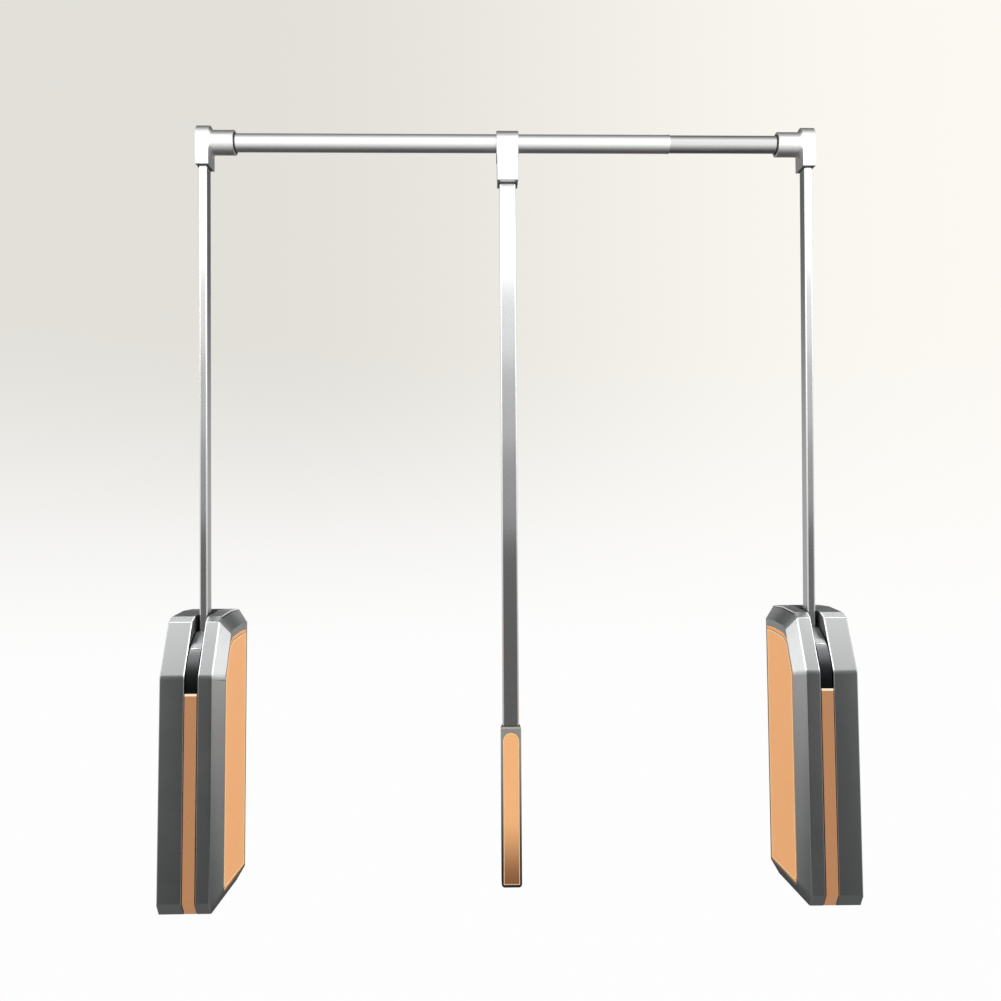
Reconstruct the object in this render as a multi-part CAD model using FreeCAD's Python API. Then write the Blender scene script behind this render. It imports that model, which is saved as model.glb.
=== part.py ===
import FreeCAD, Part
import math
import os

# Pull-down closet rod: two wall housings with swinging arms, a telescopic hanging rail
# between them and a handle that hangs from the rail.
# Frame: X to the right, Y to the back, Z up, millimetres.
# X = 0 is midway between the mounting faces, Y = 0 the middle of the housings' depth,
# Z = 0 the underside of the housings.
# Everything on one side is drawn for the right-hand housing and mirrored for the left.

V = FreeCAD.Vector

# ---------------------------------------------------------------- driving dimensions
span = 742.0                 # mounting face to mounting face as drawn
rail_height = 836.0          # rail axis above the housings' underside
pivot_height = 240.0         # arm pivot above the housings' underside
rest_lean = 2.6              # arms' forward lean in the raised pose, degrees
swing = 81.0                 # travel of the arms, degrees
running = 0.05               # radial clearance of every running fit
slide_gap = 0.1              # clearance beside every sliding face
trim_gap = 0.3               # gap round trim that drops into a recess

# housing outline, seen from the side
housing_depth = 110.0
headroom = 73.0              # top of the housings above the pivot
front_chamfer = 9.0
front_chamfer_rise = 13.5
facet_foot_rise = 7.5        # height above the pivot where the front starts to slope back
facet_top_rise = 56.0
facet_run = 27.0
shoulder_rise = 5.5
shoulder_run = 11.0
crown_run = 39.0
wall = 3.0                   # shell wall round the outline
floor = 2.6                  # shell wall beside the slot
ledge = 1.5                  # step that the mounting plate rests on
edge_round = 1.4

# stack across one housing
outer_half = 26.0
slot_width = 14.0
inner_front = 15.0
bevel_across = 11.0
plate_thickness = 2.5
panel_thickness = 3.0
panel_sink = 0.6
strip_thickness = 1.6
strip_drop = 10.0            # top of the front strip below the pivot

# bevel and panel insets from the outline, seen from the side
bevel_front = 12.0
bevel_shoulder = 15.0
bevel_top = 15.5
bevel_back = 4.0
bevel_bottom = 18.5
bevel_corner = 17.5
frame_side = 1.5
frame_top = 7.5
panel_ledge = 3.0
bead_height = 1.6
bead_depth = 0.5

# slot spine
spine_wall = 5.0
spine_front = 4.0
spine_front_drop = 28.0
slot_mouth = 67.0            # depth of the slot's open mouth
lug_radius = 5.5
screw_front_margin = 12.0
screw_back_margin = 9.5
screw_low = 12.0
screw_mid_drop = 78.0
screw_top_margin = 11.0
screw_radius = 2.0
screw_hole_gap = 0.2
screw_head_radius = 3.7
screw_head_height = 2.6
screw_bite = 11.0

# wall fixing
wall_hole_radius = 2.6
wall_hole_spacing_y = 84.0
wall_hole_spacing_z = 200.0
wall_hole_low = 25.0

# pivot
shaft_radius = 5.0
shaft_flat = 4.0
bush_radius = 8.0
bush_flange_radius = 10.0
bush_flange = 1.5

# drum that carries the arm
drum_radius = 52.5
drum_side_gap = 0.8
drum_hub_radius = 20.0
drum_lead = 100.0
drum_trail = 42.0
facet_angle = 36.0
drum_crown = 53.0
drum_crown_half = 12.2
socket_start = 14.0
pin_radius = 2.5
pin_low = 24.0
pin_high = 42.0
pocket_inner = 24.0
pocket_outer = 47.0
pocket_from = 46.0
pocket_to = 93.0
pocket_depth = 3.6

# stop buffers
buffer_radius = 6.0
buffer_reach = 44.0
buffer_gap = 0.15
trunnion_radius = 2.5

# flat tube used for the arms and the handle bar
tube_wide = 18.0
tube_thick = 8.8
tube_wall = 1.2
tube_corner = 2.2

# arm connector
connector_width = 14.7
connector_depth = 26.0
connector_below = 28.0
connector_above = 18.4
connector_socket = 22.0
collar_radius = 13.5
collar_reach = 26.6
collar_flare = 2.6
collar_mouth_gap = 1.1
collar_mouth_depth = 2.0
collar_floor = 2.0
locking_screw_radius = 2.5
locking_screw_head = 4.4
locking_screw_below = 17.0

# hanging rail
rail_radius = 10.1
rail_wall = 0.45
inner_rail_wall = 1.2
rail_step = 181.0
inner_rail_end = -60.0
end_ring_length = 1.4
end_ring_lip = 0.35

# handle
bracket_width = 24.6
bracket_depth = 27.0
bracket_above = 13.7
bracket_sleeve_width = 23.2
bracket_sleeve_from = 17.6
bracket_below = 46.5
bracket_bush_wall = 1.35
bar_top = 19.5
sleeve_depth = 26.4
bracket_screw_below = 34.0
grip_top = 188.8
grip_bottom = 19.2
grip_width = 21.9
grip_depth = 16.0
grip_corner = 3.6
grip_top_bevel = 1.6
grip_socket = 60.0
insert_width = 17.2
insert_thickness = 2.0
insert_proud = 0.2
insert_top_margin = 6.2
insert_bottom_margin = 3.0

# gears
gear_module = 1.5
pressure_angle = 25.0
flank_backlash = 0.06
root_factor = 1.25
lift_teeth = 30
damper_gear_teeth = 28
pinion_teeth = 12
lift_gear_width = 8.0
lift_gear_start = 4.4
damper_gear_width = 6.0
damper_gear_margin = 2.4
gear_hub_radius = 9.0
flank_steps = 3

# rack, gas spring and damper
rack_thickness = 5.6
rack_foot_drop = 18.0        # top of the rack's foot below the pivot
rack_foot_tall = 12.0
rack_rise = 44.0
rack_tooth_drop = 12.0
rack_foot_wide = 10.0
guide_drop = 15.5
guide_rise = 18.0
guide_wall = 2.0
guide_back = 4.0
guide_reach = 4.0
gas_radius = 7.5
gas_wall = 1.2
gas_cap = 4.0
gas_drop = 66.0              # top of the gas cylinder below the pivot
gas_setback = 27.0
rod_radius = 3.0
rod_grip = 10.0
piston_length = 8.0
piston_margin = 2.0
saddle_width = 6.0
saddle_half = 9.0
saddle_rise = 4.4
saddle_margin = 36.0
damper_radius = 12.0
damper_gap = 1.0
spindle_radius = 2.0
spindle_grip = 6.0

# ---------------------------------------------------------------- derived levels
x_wall = span / 2
x_plate = x_wall - plate_thickness
x_slot_out = x_wall - outer_half
x_slot_in = x_slot_out - slot_width
x_bevel = x_slot_in - inner_front
x_face = x_bevel - bevel_across
x_panel_seat = x_face + panel_sink + panel_thickness
x_outer_floor = x_slot_out + floor
x_inner_floor = x_slot_in - floor
x_arm = (x_slot_in + x_slot_out) / 2
y_front = -housing_depth / 2
y_back = housing_depth / 2
slot_back = y_front + slot_mouth
screw_front = y_front + screw_front_margin
screw_back = y_back - screw_back_margin
pivot = V(0, 0, pivot_height)
housing_height = pivot_height + headroom
facet_foot = pivot_height + facet_foot_rise
strip_top = pivot_height - strip_drop
spine_front_top = pivot_height - spine_front_drop
screw_mid = pivot_height - screw_mid_drop
screw_high = housing_height - screw_top_margin
rack_foot_high = pivot_height - rack_foot_drop
rack_foot_low = rack_foot_high - rack_foot_tall
rack_top = pivot_height + rack_rise
rack_tooth_low = pivot_height - rack_tooth_drop
gas_foot = wall + ledge
gas_top = pivot_height - gas_drop
piston_top = gas_top - gas_cap - piston_margin
saddle_low = gas_foot + saddle_margin
saddle_high = gas_top - saddle_margin - saddle_width
insert_top = grip_top - insert_top_margin
insert_bottom = grip_bottom + insert_bottom_margin
arm_length = (rail_height - pivot_height) / math.cos(math.radians(rest_lean))
rail_depth = -(rail_height - pivot_height) * math.tan(math.radians(rest_lean))
lift_pitch_radius = gear_module * lift_teeth / 2
gear_pitch_radius = gear_module * damper_gear_teeth / 2
pinion_pitch_radius = gear_module * pinion_teeth / 2
inner_rail_radius = rail_radius - rail_wall - running
x_tube_end = x_arm - connector_width / 2 - collar_floor
gear_x0 = x_outer_floor + lift_gear_start
gear_x1 = gear_x0 + lift_gear_width
gas_centre_x = (gear_x0 + gear_x1) / 2
outer_hub_x = x_outer_floor + bush_flange + 2 * slide_gap
damper_x0 = x_panel_seat + damper_gear_margin
damper_x1 = damper_x0 + damper_gear_width
inner_hub_x = x_inner_floor - bush_flange - 2 * slide_gap
pinion_height = pivot_height - gear_pitch_radius - pinion_pitch_radius

FRONT, FACET, SHOULDER, CROWN, TOP, BACK, BOTTOM, CHAMFER = range(8)


# ---------------------------------------------------------------- drawing helpers
def housing_outline():
    """Corner points (Y, Z) of a housing seen from the side, front edge first."""
    facet_y = y_front + facet_run
    facet_z = facet_foot + facet_top_rise
    shoulder_y = facet_y + shoulder_run
    shoulder_z = facet_z + shoulder_rise
    return [
        (y_front, front_chamfer_rise),
        (y_front, facet_foot),
        (facet_y, facet_z),
        (shoulder_y, shoulder_z),
        (shoulder_y + crown_run, housing_height),
        (y_back, housing_height),
        (y_back, 0.0),
        (y_front + front_chamfer, 0.0),
    ]


def inset(points, amounts):
    """Move every edge of a clockwise outline inwards by its own amount."""
    count = len(points)
    lines = []
    for i in range(count):
        ay, az = points[i]
        by, bz = points[(i + 1) % count]
        length = math.hypot(by - ay, bz - az)
        dy = (by - ay) / length
        dz = (bz - az) / length
        lines.append((ay + dz * amounts[i], az - dy * amounts[i], dy, dz))
    moved = []
    for i in range(count):
        ay, az, ady, adz = lines[i - 1]
        by, bz, bdy, bdz = lines[i]
        cross = ady * bdz - adz * bdy
        t = ((by - ay) * bdz - (bz - az) * bdy) / cross
        moved.append((ay + ady * t, az + adz * t))
    return moved


def even(amount):
    """The same inset for every edge of the housing outline."""
    return [amount] * 8


def wire_at(points, x):
    """Closed wire through side-view points at one X."""
    corners = [V(x, y, z) for y, z in points]
    return Part.makePolygon(corners + corners[:1])


def prism(points, x0, x1):
    """Side-view outline pushed along X."""
    return Part.Face(wire_at(points, x0)).extrude(V(x1 - x0, 0, 0))


def box(x0, x1, y0, y1, z0, z1):
    """Block between two corners."""
    return Part.makeBox(x1 - x0, y1 - y0, z1 - z0, V(x0, y0, z0))


def rod_x(radius, x0, x1, y, z):
    """Round bar along X."""
    return Part.makeCylinder(radius, x1 - x0, V(x0, y, z), V(1, 0, 0))


def rod_z(radius, z0, z1, x, y):
    """Round bar along Z."""
    return Part.makeCylinder(radius, z1 - z0, V(x, y, z0), V(0, 0, 1))


def polar(radius, degrees):
    """Point (Y, Z) on a circle round the origin; angles run from up towards the front."""
    angle = math.radians(degrees)
    return -radius * math.sin(angle), radius * math.cos(angle)


def arc_edge(radius, start, end, x, y=0.0, z=0.0):
    """Arc in the side view, angles as in polar."""
    ends = []
    for degrees in (start, (start + end) / 2, end):
        py, pz = polar(radius, degrees)
        ends.append(V(x, y + py, z + pz))
    return Part.Arc(ends[0], ends[1], ends[2]).toShape()


def rounded_tube_solid(wide, thick, corner, z0, z1, x, along_x):
    """Upright bar of rounded rectangular section; its wide side lies along X or Y."""
    half_x = wide / 2 if along_x else thick / 2
    half_y = thick / 2 if along_x else wide / 2
    bar = box(x - half_x, x + half_x, -half_y, half_y, z0, z1)
    upright = [e for e in bar.Edges if abs(e.Vertexes[0].Z - e.Vertexes[1].Z) > (z1 - z0) / 2]
    return bar.makeFillet(corner, upright)


def flat_tube(z0, z1, x, along_x):
    """Length of the flat tube used for the arms and for the handle bar."""
    skin = rounded_tube_solid(tube_wide, tube_thick, tube_corner, z0, z1, x, along_x)
    bore = rounded_tube_solid(
        tube_wide - 2 * tube_wall, tube_thick - 2 * tube_wall, tube_corner - tube_wall, z0, z1, x, along_x
    )
    return skin.cut(bore)


def on_pivot(shape, lean=rest_lean):
    """Place a piece drawn round the origin on the pivot, leaning forward."""
    placed = shape.copy()
    placed.rotate(V(0, 0, 0), V(1, 0, 0), lean)
    placed.translate(pivot)
    return placed


def d_section(x0, x1, radius):
    """Shaft section with one flat, drawn round the origin."""
    round_part = rod_x(radius, x0, x1, 0, 0)
    flat = box(x0, x1, shaft_flat, 2 * radius, -2 * radius, 2 * radius)
    return round_part.cut(flat)


def edges_on(shape, x, low, front_limit):
    """Edges of a shell that lie in one X plane above a height and ahead of a depth."""
    found = []
    for edge in shape.Edges:
        ends = edge.Vertexes
        flat = all(abs(v.X - x) < 1e-6 for v in ends)
        high = all(v.Z > low for v in ends)
        ahead = any(v.Y < front_limit for v in ends)
        if flat and high and ahead:
            found.append(edge)
    return found


def save(name, shape):
    """Write one sub-part."""
    shape.exportStep("parts/" + name + ".step")


# ---------------------------------------------------------------- housing pieces
def screw_places():
    """Side-view positions of the four screws that hold a housing together."""
    return [
        (screw_front, screw_low),
        (screw_back, screw_low),
        (screw_back, screw_mid),
        (screw_back, screw_high),
    ]


def buffer_places():
    """Side-view positions of the rubber stops for the raised and the lowered pose."""
    places = []
    offset = buffer_radius + buffer_gap
    for degrees, side in ((rest_lean - drum_trail, -1), (rest_lean + drum_lead + swing, 1)):
        y, z = polar(buffer_reach, degrees)
        ty, tz = polar(offset * side, degrees + 90.0)
        places.append((y + ty, pivot_height + z + tz))
    return places


def saddle(z0):
    """Rib that cradles the gas spring against the outer shell."""
    block = box(
        x_outer_floor, x_outer_floor + saddle_rise,
        -gas_setback - saddle_half, -gas_setback + saddle_half, z0, z0 + saddle_width,
    )
    return block.cut(rod_z(gas_radius, z0, z0 + saddle_width, gas_centre_x, -gas_setback))


def outer_shell():
    """Tray on the wall side; open towards the wall."""
    outline = housing_outline()
    body = prism(outline, x_slot_out, x_wall)
    body = body.makeFillet(edge_round, edges_on(body, x_wall, front_chamfer - 1, y_back - 1))
    body = body.makeFillet(edge_round, edges_on(body, x_slot_out, front_chamfer - 1, y_front + facet_run - 1))
    body = body.cut(prism(inset(outline, even(wall + ledge)), x_outer_floor, x_plate))
    body = body.cut(prism(inset(outline, even(wall)), x_plate, x_wall))
    body = body.fuse([saddle(saddle_low), saddle(saddle_high)])
    body = body.cut(rod_x(bush_radius, x_slot_out, x_outer_floor, 0, pivot_height))
    for y, z in screw_places():
        body = body.cut(rod_x(screw_radius + screw_hole_gap, x_slot_out, x_outer_floor, y, z))
    for y, z in buffer_places():
        body = body.cut(rod_x(trunnion_radius, x_slot_out, x_outer_floor, y, z))
    return body.removeSplitter()


def mounting_plate():
    """Steel plate that the wall screws clamp, let into the outer shell."""
    plate = prism(inset(housing_outline(), even(wall + slide_gap)), x_plate, x_wall)
    for y in (-wall_hole_spacing_y / 2, wall_hole_spacing_y / 2):
        for z in (wall_hole_low, wall_hole_low + wall_hole_spacing_z):
            plate = plate.cut(rod_x(wall_hole_radius, x_plate, x_wall, y, z))
    return plate


def bevel_outline():
    """Inner edge of the bevel, seen from the side."""
    amounts = even(bevel_front)
    amounts[SHOULDER] = bevel_shoulder
    amounts[CROWN] = bevel_top
    amounts[TOP] = bevel_top
    amounts[BACK] = bevel_back
    amounts[BOTTOM] = bevel_bottom
    amounts[CHAMFER] = bevel_corner
    return inset(housing_outline(), amounts)


def panel_outline(gap=0.0):
    """Recess for the leather side panel, less a gap all round."""
    amounts = even(frame_side + gap)
    for edge in (SHOULDER, CROWN, TOP):
        amounts[edge] = frame_top + gap
    return inset(bevel_outline(), amounts)


def inner_shell():
    """Tray on the room side with the wide bevel and the recess for the side panel."""
    outline = housing_outline()
    body = prism(outline, x_bevel, x_slot_in)
    body = body.makeFillet(edge_round, edges_on(body, x_slot_in, front_chamfer - 1, y_front + facet_run - 1))
    bevel = Part.makeLoft([wire_at(outline, x_bevel), wire_at(bevel_outline(), x_face)], True, True)
    body = body.fuse(bevel)
    body = body.cut(prism(inset(outline, even(wall)), x_bevel + 2.0, x_inner_floor))
    body = body.cut(prism(panel_outline(), x_face, x_panel_seat))
    body = body.cut(prism(inset(panel_outline(), even(panel_ledge)), x_panel_seat, x_bevel + 2.0))
    for y, z in screw_places():
        boss = rod_x(screw_radius + 2.5, x_bevel + 1.0, x_inner_floor + 1.0, y, z)
        body = body.fuse(boss.common(prism(outline, x_bevel, x_slot_in)))
        body = body.cut(rod_x(screw_radius, x_slot_in - screw_bite, x_slot_in, y, z))
    body = body.cut(rod_x(bush_radius, x_inner_floor, x_slot_in, 0, pivot_height))
    for y, z in buffer_places():
        body = body.cut(rod_x(trunnion_radius, x_inner_floor, x_slot_in, y, z))
    return body.removeSplitter()


def slot_spine():
    """C-shaped spacer that joins the two shells round the back, foot and lower front."""
    amounts = even(0.0)
    amounts[FRONT] = strip_thickness
    amounts[CHAMFER] = strip_thickness
    outline = inset(housing_outline(), amounts)
    inner = even(spine_wall)
    inner[FRONT] = spine_front
    body = prism(outline, x_slot_in, x_slot_out).cut(prism(inset(outline, inner), x_slot_in, x_slot_out))
    body = body.cut(box(x_slot_in, x_slot_out, y_front, slot_back, spine_front_top, housing_height))
    for y, z in screw_places():
        body = body.fuse(rod_x(lug_radius, x_slot_in, x_slot_out, y, z))
    for y, z in screw_places():
        body = body.cut(rod_x(screw_radius + screw_hole_gap, x_slot_in, x_slot_out, y, z))
    body = body.common(prism(outline, x_slot_in, x_slot_out))
    return body.removeSplitter()


def front_strip():
    """Leather strip down the front of the slot, folded under the foot."""
    amounts = even(0.0)
    amounts[FRONT] = strip_thickness
    amounts[CHAMFER] = strip_thickness
    x0 = x_slot_in + trim_gap * 2
    x1 = x_slot_out - trim_gap * 2
    strip = prism(housing_outline(), x0, x1).cut(prism(inset(housing_outline(), amounts), x0, x1))
    strip = strip.cut(box(x0, x1, y_front, y_back, strip_top, housing_height))
    return strip


def side_panel():
    """Leather-covered panel that closes the room side, with a bead along its top edge."""
    x0 = x_face + panel_sink
    panel = prism(panel_outline(trim_gap), x0, x_panel_seat)
    amounts = even(-wall)
    amounts[SHOULDER] = bead_height
    amounts[CROWN] = bead_height
    amounts[TOP] = bead_height
    bead = prism(panel_outline(trim_gap), x0 - bead_depth, x0)
    bead = bead.cut(prism(inset(panel_outline(trim_gap), amounts), x0 - bead_depth, x0))
    return panel.fuse(bead).removeSplitter()


def pivot_bush(x_wall_face, direction):
    """Flanged bush through a shell floor; the flange points away from the slot."""
    far = x_wall_face + direction * floor
    flange_end = far + direction * bush_flange
    barrel = rod_x(bush_radius, min(x_wall_face, far), max(x_wall_face, far), 0, pivot_height)
    flange = rod_x(bush_flange_radius, min(far, flange_end), max(far, flange_end), 0, pivot_height)
    low = min(x_wall_face, flange_end)
    high = max(x_wall_face, flange_end)
    bush = barrel.fuse(flange).removeSplitter()
    return bush.cut(rod_x(shaft_radius + running, low, high, 0, pivot_height))


def shell_screws():
    """Four pan-head screws from the outer shell into the inner shell."""
    screws = []
    for y, z in screw_places():
        shank = rod_x(screw_radius, x_slot_in - screw_bite, x_outer_floor, y, z)
        head = rod_x(screw_head_radius, x_outer_floor, x_outer_floor + screw_head_height, y, z)
        screw = shank.fuse(head).removeSplitter()
        slot_top = x_outer_floor + screw_head_height
        cross = box(slot_top - 1.2, slot_top, y - 2.4, y + 2.4, z - 0.4, z + 0.4)
        screws.append(screw.cut(cross))
    return Part.makeCompound(screws)


def stop_buffers():
    """Rubber rollers with trunnions seated in both shells."""
    rollers = []
    for y, z in buffer_places():
        roller = rod_x(buffer_radius, x_slot_in, x_slot_out, y, z)
        trunnion = rod_x(trunnion_radius, x_inner_floor, x_outer_floor, y, z)
        rollers.append(roller.fuse(trunnion).removeSplitter())
    return Part.makeCompound(rollers)


# ---------------------------------------------------------------- gears
def involute(angle):
    """Involute of a pressure angle in radians."""
    return math.tan(angle) - angle


def tooth_points(teeth, centre):
    """Outline of one tooth round the origin, root to root, centred on an angle."""
    pitch = gear_module * teeth / 2
    base = pitch * math.cos(math.radians(pressure_angle))
    root = pitch - root_factor * gear_module
    tip = pitch + gear_module
    half = math.pi / (2 * teeth) - flank_backlash / pitch
    half += involute(math.radians(pressure_angle))
    start = max(base, root)
    side = []
    if base > root:
        side.append((root, math.degrees(half)))
    for i in range(flank_steps + 1):
        radius = start + (tip - start) * i / flank_steps
        angle = half - involute(math.acos(min(1.0, base / radius)))
        side.append((radius, math.degrees(angle)))
    rising = [polar(radius, centre - angle) for radius, angle in side]
    falling = [polar(radius, centre + angle) for radius, angle in reversed(side)]
    return rising + falling


def toothed_plate(teeth, first, last, phase, x0, x1):
    """Gear plate round the origin with the teeth numbered first to last; phase is tooth 0."""
    root = gear_module * teeth / 2 - root_factor * gear_module
    step = 360.0 / teeth
    points = []
    for number in range(first, last + 1):
        points += tooth_points(teeth, phase + number * step)
    corners = [V(x0, y, z) for y, z in points]
    rim = Part.makePolygon(corners).Edges
    if last - first + 1 == teeth:
        rim.append(Part.makeLine(corners[-1], corners[0]))
    else:
        end_angle = math.degrees(math.atan2(-corners[-1].y, corners[-1].z))
        start_angle = math.degrees(math.atan2(-corners[0].y, corners[0].z))
        while start_angle < end_angle:
            start_angle += 360.0
        middle = V(x0, *polar(root, (end_angle + start_angle) / 2))
        rim.append(Part.Arc(corners[-1], middle, corners[0]).toShape())
    face = Part.Face(Part.Wire(rim))
    return face.extrude(V(x1 - x0, 0, 0))


def keyed(shape, x0, x1):
    """Cut the flatted shaft bore, turned as the shaft is in the raised pose."""
    bore = d_section(x0, x1, shaft_radius)
    bore.rotate(V(0, 0, 0), V(1, 0, 0), rest_lean)
    return shape.cut(bore)


def lift_gear():
    """Toothed sector that drives the rack."""
    step = 360.0 / lift_teeth
    first = -int((swing + 2 * step) / step) - 1
    plate = toothed_plate(lift_teeth, first, 2, 90.0, gear_x0, gear_x1)
    hub = rod_x(gear_hub_radius, outer_hub_x, gear_x0, 0, 0)
    gear = keyed(plate.fuse(hub).removeSplitter(), outer_hub_x, gear_x1)
    gear.translate(pivot)
    return gear


def damper_gear():
    """Toothed sector that drives the damper pinion."""
    step = 360.0 / damper_gear_teeth
    first = -int((swing + 2 * step) / step) - 1
    plate = toothed_plate(damper_gear_teeth, first, 2, 180.0, damper_x0, damper_x1)
    hub = rod_x(gear_hub_radius, damper_x1, inner_hub_x, 0, 0)
    gear = keyed(plate.fuse(hub).removeSplitter(), damper_x0, inner_hub_x)
    gear.translate(pivot)
    return gear


def damper_pinion():
    """Pinion on the spindle of the rotary damper; a gap faces the sector."""
    half_step = 180.0 / pinion_teeth
    pinion = toothed_plate(pinion_teeth, 0, pinion_teeth - 1, half_step, damper_x0, damper_x1)
    spindle = rod_x(spindle_radius, damper_x1, damper_x1 + damper_gap + spindle_grip, 0, 0)
    pinion = pinion.fuse(spindle).removeSplitter()
    pinion.translate(V(0, 0, pinion_height))
    return pinion


def damper_body():
    """Closed can of the rotary damper on the inner shell floor."""
    x0 = damper_x1 + damper_gap
    can = rod_x(damper_radius, x0, x_inner_floor, 0, pinion_height)
    can = can.makeChamfer(0.8, [e for e in can.Edges if abs(e.CenterOfMass.x - x0) < 1e-6])
    ear = box(x_inner_floor - 2.0, x_inner_floor, -damper_radius - 6.0, damper_radius + 6.0,
              pinion_height - 5.0, pinion_height + 5.0)
    can = can.fuse(ear).removeSplitter()
    return can.cut(rod_x(spindle_radius + running, x0, x0 + spindle_grip + 1.0, 0, pinion_height))


# ---------------------------------------------------------------- rack and gas spring
def lift_rack():
    """Toothed rack in front of the lift gear, with a foot for the gas spring rod."""
    pitch_line = -lift_pitch_radius
    root = pitch_line - root_factor * gear_module
    tip = pitch_line + gear_module
    back = root - rack_thickness
    slope = math.tan(math.radians(pressure_angle))
    pitch = math.pi * gear_module
    quarter = pitch / 4 - flank_backlash
    points = [(back, rack_foot_high), (root, rack_foot_high)]
    number = math.ceil((rack_tooth_low - pivot_height) / pitch - 0.5)
    while pivot_height + (number + 0.5) * pitch + quarter + pitch / 4 < rack_top:
        middle = pivot_height + (number + 0.5) * pitch
        foot = quarter + root_factor * gear_module * slope
        head = quarter - gear_module * slope
        points += [(root, middle - foot), (tip, middle - head), (tip, middle + head), (root, middle + foot)]
        number += 1
    points += [(root, rack_top), (back, rack_top)]
    rack = prism(points, gear_x0, gear_x1)
    half = rack_foot_wide / 2
    foot_block = box(gas_centre_x - half, gas_centre_x + half, -gas_setback - half, -gas_setback + half,
                     rack_foot_low, rack_foot_high)
    rack = rack.fuse(foot_block).removeSplitter()
    return rack.cut(rod_z(rod_radius, rack_foot_low, rack_foot_low + rod_grip, gas_centre_x, -gas_setback))


def rack_guide():
    """Channel that keeps the rack in mesh."""
    back = -lift_pitch_radius - root_factor * gear_module - rack_thickness - slide_gap
    x0 = x_outer_floor
    x1 = gear_x1 + slide_gap + guide_wall
    z0 = pivot_height - guide_drop
    z1 = pivot_height + guide_rise
    block = box(x0, x1, back - guide_back, back + guide_reach, z0, z1)
    return block.cut(box(gear_x0 - slide_gap, gear_x1 + slide_gap, back, back + guide_reach, z0, z1))


def gas_cylinder():
    """Pressure tube of the gas spring, closed below and with a gland at the top."""
    tube = rod_z(gas_radius, gas_foot, gas_top, gas_centre_x, -gas_setback)
    bore = rod_z(gas_radius - gas_wall, gas_foot + gas_cap, gas_top - gas_cap, gas_centre_x, -gas_setback)
    gland = rod_z(rod_radius + running, gas_top - gas_cap, gas_top, gas_centre_x, -gas_setback)
    return tube.cut(bore).cut(gland)


def gas_rod():
    """Piston and rod; the rod screws into the rack."""
    rod = rod_z(rod_radius, piston_top - piston_length, rack_foot_low + rod_grip, gas_centre_x, -gas_setback)
    piston = rod_z(gas_radius - gas_wall - slide_gap, piston_top - piston_length, piston_top,
                   gas_centre_x, -gas_setback)
    return rod.fuse(piston).removeSplitter()


# ---------------------------------------------------------------- swinging frame
def arm_pocket(z0, z1):
    """Space filled by the end of an arm tube, drawn round the origin."""
    return rounded_tube_solid(tube_wide, tube_thick, tube_corner, z0, z1, x_arm, False)


def drum_side(side):
    """Arc-shaped relief in one face of the drum."""
    x0 = x_arm - side * (slot_width / 2 - drum_side_gap)
    outer = arc_edge(pocket_outer, pocket_from, pocket_to, x0)
    inner = arc_edge(pocket_inner, pocket_to, pocket_from, x0)
    down = Part.makeLine(V(x0, *polar(pocket_outer, pocket_to)), V(x0, *polar(pocket_inner, pocket_to)))
    up = Part.makeLine(V(x0, *polar(pocket_inner, pocket_from)), V(x0, *polar(pocket_outer, pocket_from)))
    return Part.Face(Part.Wire([outer, down, inner, up])).extrude(V(side * pocket_depth, 0, 0))


def arm_drum():
    """Drum sector that closes the slot, turns on the pivot and holds the arm."""
    x0 = x_slot_in + drum_side_gap
    x1 = x_slot_out - drum_side_gap

    def at(radius, degrees):
        return V(x0, *polar(radius, degrees))

    crown_front = V(x0, -drum_crown_half, drum_crown)
    crown_back = V(x0, drum_crown_half, drum_crown)
    rim = [
        arc_edge(drum_radius, facet_angle, drum_lead, x0),
        Part.makeLine(at(drum_radius, drum_lead), at(drum_hub_radius, drum_lead)),
        arc_edge(drum_hub_radius, drum_lead, 360.0 - drum_trail, x0),
        Part.makeLine(at(drum_hub_radius, -drum_trail), at(drum_radius, -drum_trail)),
        arc_edge(drum_radius, -drum_trail, -facet_angle, x0),
        Part.makeLine(at(drum_radius, -facet_angle), crown_back),
        Part.makeLine(crown_back, crown_front),
        Part.makeLine(crown_front, at(drum_radius, facet_angle)),
    ]
    drum = Part.Face(Part.Wire(rim)).extrude(V(x1 - x0, 0, 0))
    drum = drum.cut(d_section(x0, x1, shaft_radius))
    drum = drum.cut(arm_pocket(socket_start, drum_crown + 1.0))
    for side in (-1, 1):
        drum = drum.cut(drum_side(side))
    for z in (pin_low, pin_high):
        drum = drum.cut(rod_x(pin_radius, x0, x1, 0, z))
    return on_pivot(drum)


def arm_pins():
    """Two cross pins through the drum and the arm tube."""
    x0 = x_slot_in + drum_side_gap
    x1 = x_slot_out - drum_side_gap
    return Part.makeCompound([on_pivot(rod_x(pin_radius, x0, x1, 0, z)) for z in (pin_low, pin_high)])


def pivot_shaft():
    """Shaft with a flat wherever a drum or gear is keyed to it."""
    start = x_panel_seat + 1.0
    end = x_plate - 2.0
    shaft = rod_x(shaft_radius, start, end, 0, 0)
    shaft = shaft.makeChamfer(0.6, [e for e in shaft.Edges if abs(e.Length - 2 * math.pi * shaft_radius) < 1e-3])
    keyed_spans = (
        (start, inner_hub_x),
        (x_slot_in + drum_side_gap, x_slot_out - drum_side_gap),
        (outer_hub_x, end),
    )
    for x0, x1 in keyed_spans:
        shaft = shaft.cut(box(x0, x1, shaft_flat, 2 * shaft_radius, -2 * shaft_radius, 2 * shaft_radius))
    return on_pivot(shaft)


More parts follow.
